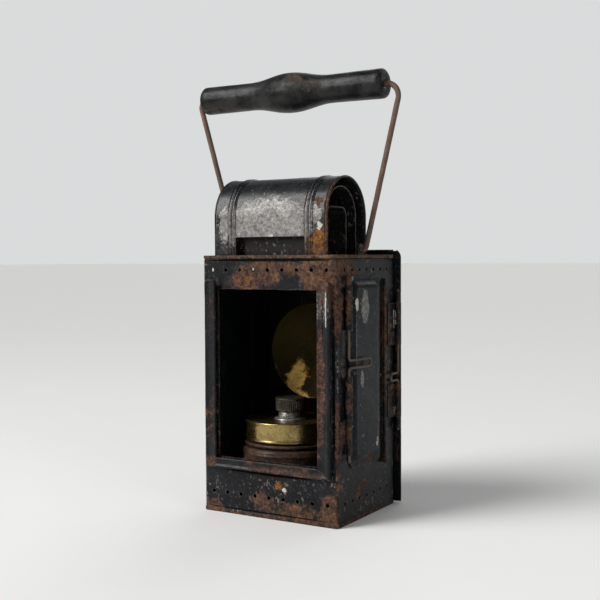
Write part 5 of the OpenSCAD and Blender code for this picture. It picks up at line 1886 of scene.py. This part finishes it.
@dataclass
class Bail:
    """The wire bail with its turned wooden grip, and the lugs that it hangs in."""

    reach: float = 113.5
    lean: float = 2.5
    wire_radius: float = 2.0
    foot_x: float = 54.0
    tip_x: float = 47.6
    bends: tuple[float, float] = (4.5, 9.0)
    foot_bend: float = 4.0
    end_gap: float = 0.3
    head: Point2 = (2.9, 1.1)
    pivot_z: float = 187.0
    grip_end: float = 10.5
    grip_neck: float = 10.1
    grip_swell: float = 14.35
    swell_half: float = 33.0
    grip_round: float = 3.0

    def __post_init__(self) -> None:
        """Takes the grip's ends from the frame."""
        low, high = span("grip")
        self.grip_low, self.grip_high = low.x, high.x

    def out_of_plane(self, p: Vector) -> Vector:
        """Stands a point of the bail's own plane up in the frame."""
        lean = math.radians(self.lean)
        return Vector((p.x, -p.y * math.sin(lean) - p.z * math.cos(lean),
                       self.pivot_z + p.y * math.cos(lean) - p.z * math.sin(lean)))

    def corner(self, end: float, bend: float) -> float:
        """Where an arm's line meets the grip's axis, when the arm runs tangent to the bend at the grip's end.

        Args:
            end: Distance of the grip's end from the middle.
            bend: The bend's radius.

        Returns:
            The distance from the middle.
        """
        away = Vector((end - self.foot_x, self.reach - bend))
        way = math.atan2(away.y, away.x) - math.asin(bend / away.length)
        return self.foot_x + self.reach / math.tan(way)

    def loop(self) -> Shape:
        """The wire with its two formed heads.

        Returns:
            The wire.
        """
        left = -self.corner(-self.grip_low + self.end_gap, self.bends[0])
        right = self.corner(self.grip_high + self.end_gap, self.bends[1])
        corners = [(-self.tip_x, 0), (-self.foot_x, 0), (left, self.reach), (right, self.reach),
                   (self.foot_x, 0), (self.tip_x, 0)]
        path = bent_line(corners, [self.foot_bend, *self.bends, self.foot_bend], 2.2)
        shape = wire([Vector((u, v, 0)) for u, v in path], self.wire_radius, 0.08, 2)
        r, t = self.head
        for side in Side:
            knob = lathe([(0.3, 0), (r - 0.3, 0), (r, 0.3), (r, t - 0.3), (r - 0.5, t - 0.02), (0.3, t)], 24)
            start = side.value * self.tip_x - (t if side is Side.LEFT else 0)
            shape.join(knob.moved(lambda p, x=start: Vector((x + p.z, p.x, p.y))))
        return shape.moved(self.out_of_plane)

    def grip_radius(self, s: float, half: float) -> float:
        """Radius of the grip at a distance from its middle.

        Args:
            s: The distance.
            half: Half of the grip's length.

        Returns:
            The radius.
        """
        swell = math.cos(math.pi / 2 * min(1.0, abs(s) / self.swell_half)) ** 2
        flare = (abs(s) / half) ** 4
        inset = max(0.0, self.grip_round - (half - abs(s)))
        edge = math.sqrt(max(0.0, self.grip_round ** 2 - inset ** 2)) - self.grip_round
        neck = self.grip_neck
        return neck + (self.grip_swell - neck) * swell + (self.grip_end - neck) * flare + edge

    def handle(self) -> Shape:
        """The turned grip with its bore, dented by use.

        Returns:
            The grip.
        """
        half, middle = (self.grip_high - self.grip_low) / 2, (self.grip_high + self.grip_low) / 2
        bore = self.wire_radius + 0.12
        ends = [half - self.grip_round * (1 - math.cos(math.radians(a))) for a in (0, 18, 36, 54, 72)]
        body = spaced(-half + self.grip_round, half - self.grip_round, 1.7)
        stations = [-e for e in ends] + body[1:-1] + ends[::-1]
        face = self.grip_radius(half, half)
        start = [(bore, -half + 0.7), (bore + 0.7, -half), ((bore + face) / 2, -half)]
        outside = [(self.grip_radius(s, half), s) for s in stations]
        profile = start + outside + [(r, -z) for r, z in start[::-1]]

        def skin(turn: float, r: float, z: float) -> float:
            """Dents the wood, and leaves its bore true."""
            p = Vector((r * math.cos(turn), r * math.sin(turn), z))
            return (0.14 * ripple(p, 15, 3) + 0.05 * ripple(p, 4, 8) - 0.14) if r > bore + 2 else 0.0

        turned = lathe(profile, 72, skin)
        return turned.moved(lambda p: self.out_of_plane(Vector((middle + p.z, self.reach + p.x, p.y))))

    def build(self) -> None:
        """Builds the bail and its grip."""
        settle(self.loop().make("bail_loop", [Finishes.bail]), "bail", "bail_wire_rust", "bail_wire")
        settle(self.handle().make("wooden_grip", [Finishes.wood], 50), "grip", "painted_wood", "grip")
        for side in Side:
            dress_node(f"bail_lug_{side.label}", Finishes.hood, 0.15)


# ---- oil font


@dataclass
class Font:
    """The oil font: tin tank, brass band, threaded neck and knurled cap."""

    tank: float = 34.5
    band: float = 32.0
    neck: float = 8.3
    bore: float = 6.3
    pitch: float = 1.25
    knurls: int = 40

    def __post_init__(self) -> None:
        """Takes the font's heights from the frame."""
        low, high = span("font_tank")
        self.axis = Vector(((low.x + high.x) / 2, (low.y + high.y) / 2, 0))
        self.tank_z = (low.z, high.z)
        self.ring_z = tuple(p.z for p in span("font_ring"))
        self.band_z = tuple(p.z for p in span("font_cover"))
        self.neck_z = tuple(p.z for p in span("burner_neck"))
        self.cap_z = tuple(p.z for p in span("burner_cap"))

    def stand(self, shape: Shape) -> Shape:
        """Moves a shape turned about the Z axis onto the font's axis."""
        return shape.moved(lambda p: p + self.axis)

    def tank_body(self) -> Shape:
        """The tank: a soldered seam ring at its foot, a rounded shoulder, and the collar under the ring.

        Returns:
            The tank.
        """
        r, foot, top = self.tank, self.tank_z[0], self.band_z[0] - 5.0
        collar, crown = self.band - 4.0, self.tank_z[1]
        outside = ([(r - 1.0, foot), (r - 0.15, foot + 0.4), (r - 0.1, foot + 1.6), (r - 0.7, foot + 2.1)]
                   + [(r - 0.45, z) for z in spaced(foot + 3, top - 6, 3.0)]
                   + [(r - 0.4, top - 5), (r - 0.05, top - 4.4), (r - 0.05, top - 3.6), (r - 0.5, top - 3.0)]
                   + arc((r - 2.9, top - 2.4), 2.4, 0, 90, 22.5)
                   + [(collar + 1.2, top), (collar + 0.2, top + 0.5), (collar, top + 1.4), (collar, crown)])
        inside_line = [(collar - SHEET, crown), (collar - SHEET, top - 1.2), (r - 3.4, top - 1.4),
                       (r - 1.4, top - 3.4), (r - 1.3, foot + 1.2), (1.0, foot + 1.2), (1.0, foot)]
        return lathe(outside + inside_line, 112, turned_skin(0.1, 13, collar + 1))

    def ring(self) -> Shape:
        """The flat ring in the groove under the band."""
        (low, high), out, bore = self.ring_z, self.band + 1.0, self.band - 3.9
        return lathe([(bore, low), (out - 0.6, low)] + arc((out - 0.9, (low + high) / 2), 0.9, -70, 70, 20)
                     + [(out - 0.6, high), (bore, high)], 96)

    def cover(self) -> Shape:
        """The brass band with its top, a rolled lip and a turned step.

        Returns:
            The band.
        """
        (low, high), r = self.band_z, self.band
        outside = ([(r - SHEET, low), (r - 0.25, low), (r, low + 0.3), (r, low + 1.2), (r - 0.22, low + 1.5)]
                   + [(r - 0.24, z) for z in spaced(low + 2.5, high - 3.2, 1.6)]
                   + [(r - 0.22, high - 2.0), (r, high - 1.6)]
                   + arc((r - 0.62, high - 0.62), 0.62, 0, 150, 25)
                   + [(r - 1.9, high - 0.9), (r - 4.5, high - 0.95), (r - 9.0, high - 0.75),
                      (r - 9.6, high - 1.1), (14.0, high - 0.75), (self.bore + 0.05, high - 0.65)])
        inside_line = [(self.bore + 0.05, high - 1.55), (r - 1.5, high - 1.7), (r - SHEET, high - 2.4)]
        return lathe(outside + inside_line, 128, turned_skin(0.05, 11, 20))

    def threaded_neck(self) -> Shape:
        """The neck with its flange and a true helical thread.

        Returns:
            The neck.
        """
        low, high = self.neck_z
        root, crest = self.neck - 0.55, self.neck
        heights = spaced(low + 1.0, high, 0.16)
        flange = [(crest + 2.8, low), (crest + 2.95, low + 0.4), (crest + 2.6, low + 0.9),
                  (crest - 0.2, low + 1.0)]
        profile = [(self.bore, low)] + flange + [(root, z) for z in heights[1:]] + [(self.bore, high)]

        def skin(turn: float, r: float, z: float) -> float:
            """Height of the thread, which fades out at both ends.

            Args:
                turn: Angle round the axis.
                r: Radius of the profile.
                z: Height.

            Returns:
                The extra radius.
            """
            if abs(r - root) > 0.01:
                return 0.0
            phase = (z / self.pitch - turn / (2 * math.pi)) % 1.0
            fade = min(1.0, (z - low - 1.0) / 0.6, (high - z) / 0.8)
            return (crest - root) * max(0.0, fade) * (0.5 - 0.5 * math.cos(2 * math.pi * phase)) ** 1.3

        return lathe(profile, 72, skin)

    def cap(self) -> Shape:
        """The cap: straight knurling between two plain lips, a dished top, and a hollow for the neck.

        Returns:
            The cap.
        """
        low, high = self.cap_z
        left, right = span("burner_cap")
        r = (right.x - left.x) / 2
        wall = ([(self.neck + 0.12, low), (r - 0.5, low), (r - 0.1, low + 0.35), (r - 0.1, low + 0.9)]
                + [(r - 0.12, z) for z in spaced(low + 1.3, high - 1.9, 0.5)]
                + [(r - 0.1, high - 1.5), (r - 0.02, high - 1.1)]
                + arc((r - 0.72, high - 0.72), 0.7, 0, 90, 30)
                + [(r - 1.5, high - 0.1), (r - 2.2, high - 0.45), (3.0, high - 0.6), (2.6, high - 0.35),
                   (0.4, high - 0.3), (0.4, high - 1.45), (self.neck + 0.12, high - 1.5)])

        def skin(turn: float, at: float, _: float) -> float:
            """Depth of the knurling, on the wall between the lips.

            Args:
                turn: Angle round the axis.
                at: Radius of the profile.
                _: Height, which does not matter.

            Returns:
                The extra radius.
            """
            if abs(at - r + 0.12) > 0.005:
                return 0.0
            ridge = 0.5 + 0.5 * math.cos(turn * self.knurls)
            return -0.5 * (1 - ridge ** 0.7)

        return lathe(wall, self.knurls * 6, skin)

    def build(self) -> None:
        """Builds the font's pieces."""
        for shape, name, finish, sharp, body, node in (
                (self.tank_body(), "tank", Finishes.tank, 38, "case", "font_tank"),
                (self.ring(), "groove_ring", Finishes.tank, 38, "case", "font_ring"),
                (self.cover(), "brass_band", Finishes.band, 38, "case", "font_cover"),
                (self.threaded_neck(), "threaded_neck", Finishes.neck, 60, "case", "burner_neck"),
                (self.cap(), "knurled_cap", Finishes.cap, 50, "burner_cap", "burner_cap")):
            settle(self.stand(shape).make(name, [finish], sharp), body, finish.slot, node)
        dress_node("font_seat", Finishes.inside, 0.2)
        dress_node("wick_tube", Finishes.band)
        dress_node("wick", Finishes.cotton)
        dress_node("cap_gasket", Finishes.leather)


# ---- room


@dataclass
class Studio:
    """The plain pale floor, the soft lights and the camera."""

    eye: Point3 = (0.38135, -0.62954, 0.18143)
    tilt: float = 87.654
    heading: float = 31.184
    roll: float = -0.2895
    lens: float = 60.76
    floor_size: float = 60.0
    floor_tone: Rgb = (0.86, 0.855, 0.84)
    sky: Rgb = (0.83, 0.85, 0.85)
    sky_seen: float = 0.84
    sky_cast: float = 0.25
    lamp_size: float = 0.5

    def build_floor(self) -> None:
        """Lays the floor."""
        mesh = bpy.data.meshes.new("floor")
        h = self.floor_size / 2
        mesh.from_pydata([(-h, -h, 0), (h, -h, 0), (h, h, 0), (-h, h, 0)], [], [(0, 1, 2, 3)])
        floor = bpy.data.objects.new("floor", mesh)
        bpy.context.scene.collection.objects.link(floor)
        bench = Bench("pale_floor")
        mottle = bench.noise(60, 6, 0.6)
        dark = tuple(c * 0.97 for c in self.floor_tone)
        bench.set("Base Color", bench.blend(mottle, dark, self.floor_tone))
        bench.set("Roughness", bench.step(mottle, 0.3, 0.7, 0.8, 0.95))
        bench.set("Specular IOR Level", 0.04)
        mesh.materials.append(bench.material)

    def hang(self, name: str, data: bpy.types.ID) -> bpy.types.Object:
        """Puts a light or a camera in the room.

        Args:
            name: Its name.
            data: The lamp or the camera.

        Returns:
            The object that holds it.
        """
        holder = bpy.data.objects.new(name, data)
        bpy.context.scene.collection.objects.link(holder)
        return holder

    def light(self, name: str, place: Point3, target: Point3, power: float, tone: Rgb) -> None:
        """Hangs one soft square light.

        Args:
            name: Its name.
            place: Where it hangs, in metres.
            target: What it points at.
            power: Its power in watts.
            tone: Its colour.
        """
        lamp = bpy.data.lights.new(name, "AREA")
        lamp.size, lamp.energy, lamp.color = self.lamp_size, power, tone
        holder = self.hang(name, lamp)
        holder.location = place
        holder.rotation_euler = (Vector(target) - Vector(place)).to_track_quat("-Z", "Y").to_euler()

    def daylight(self, name: str, way: Point3, strength: float, spread: float) -> None:
        """Adds even, soft daylight.

        Args:
            name: Its name.
            way: Direction that it comes from.
            strength: Its strength.
            spread: Its angular size in degrees, which softens the shadows.
        """
        lamp = bpy.data.lights.new(name, "SUN")
        lamp.energy, lamp.angle = strength, math.radians(spread)
        self.hang(name, lamp).rotation_euler = Vector(way).to_track_quat("Z", "Y").to_euler()

    def build_sky(self) -> None:
        """Surrounds the room with light, paler where it is seen than where it falls on the lantern."""
        world = bpy.data.worlds.new("room")
        bpy.context.scene.world = world
        world.use_nodes = True
        nodes, links = world.node_tree.nodes, world.node_tree.links
        nodes.clear()
        output = nodes.new("ShaderNodeOutputWorld")
        seen, cast = nodes.new("ShaderNodeBackground"), nodes.new("ShaderNodeBackground")
        seen.inputs[0].default_value, seen.inputs[1].default_value = (*self.sky, 1), self.sky_seen
        cast.inputs[0].default_value, cast.inputs[1].default_value = (*self.sky, 1), self.sky_cast
        path, mix = nodes.new("ShaderNodeLightPath"), nodes.new("ShaderNodeMixShader")
        links.new(path.outputs["Is Camera Ray"], mix.inputs[0])
        links.new(cast.outputs[0], mix.inputs[1])
        links.new(seen.outputs[0], mix.inputs[2])
        links.new(mix.outputs[0], output.inputs[0])

    def build(self) -> None:
        """Sets up floor, light and camera."""
        self.build_floor()
        self.build_sky()
        self.daylight("front", (-0.62, -0.72, 0.9), 2.0, 32.0)
        self.daylight("rear", (-0.1, 0.95, 0.6), 0.7, 50.0)
        self.light("key", (-0.75, -1.15, 0.72), (0, 0, 0.16), 9, (1.0, 0.985, 0.96))
        self.light("side", (1.3, -0.55, 0.6), (0, 0, 0.15), 2.6, (0.95, 0.98, 1.0))
        camera = bpy.data.cameras.new("camera")
        camera.lens, camera.sensor_width = self.lens, 36.0
        camera.clip_start = 0.01
        holder = self.hang("camera", camera)
        turn = Matrix.Rotation(math.radians(self.heading), 4, "Z")
        turn = turn @ Matrix.Rotation(math.radians(self.tilt), 4, "X")
        turn = turn @ Matrix.Rotation(math.radians(self.roll), 4, "Z")
        holder.matrix_world = Matrix.Translation(self.eye) @ turn
        bpy.context.scene.camera = holder
        bpy.context.scene.view_settings.view_transform = "Standard"


def main() -> None:
    """Builds every sub-assembly in order, then the room around them."""
    logging.basicConfig(level=logging.INFO, format="%(name)s %(message)s")
    for assembly in (Case(), WindowFrame(), Shutters(), RearDoor(), Hood(), Bail(), Font(), Studio()):
        log.info("building %s", type(assembly).__name__)
        assembly.build()


if __name__ == "__main__":
    main()
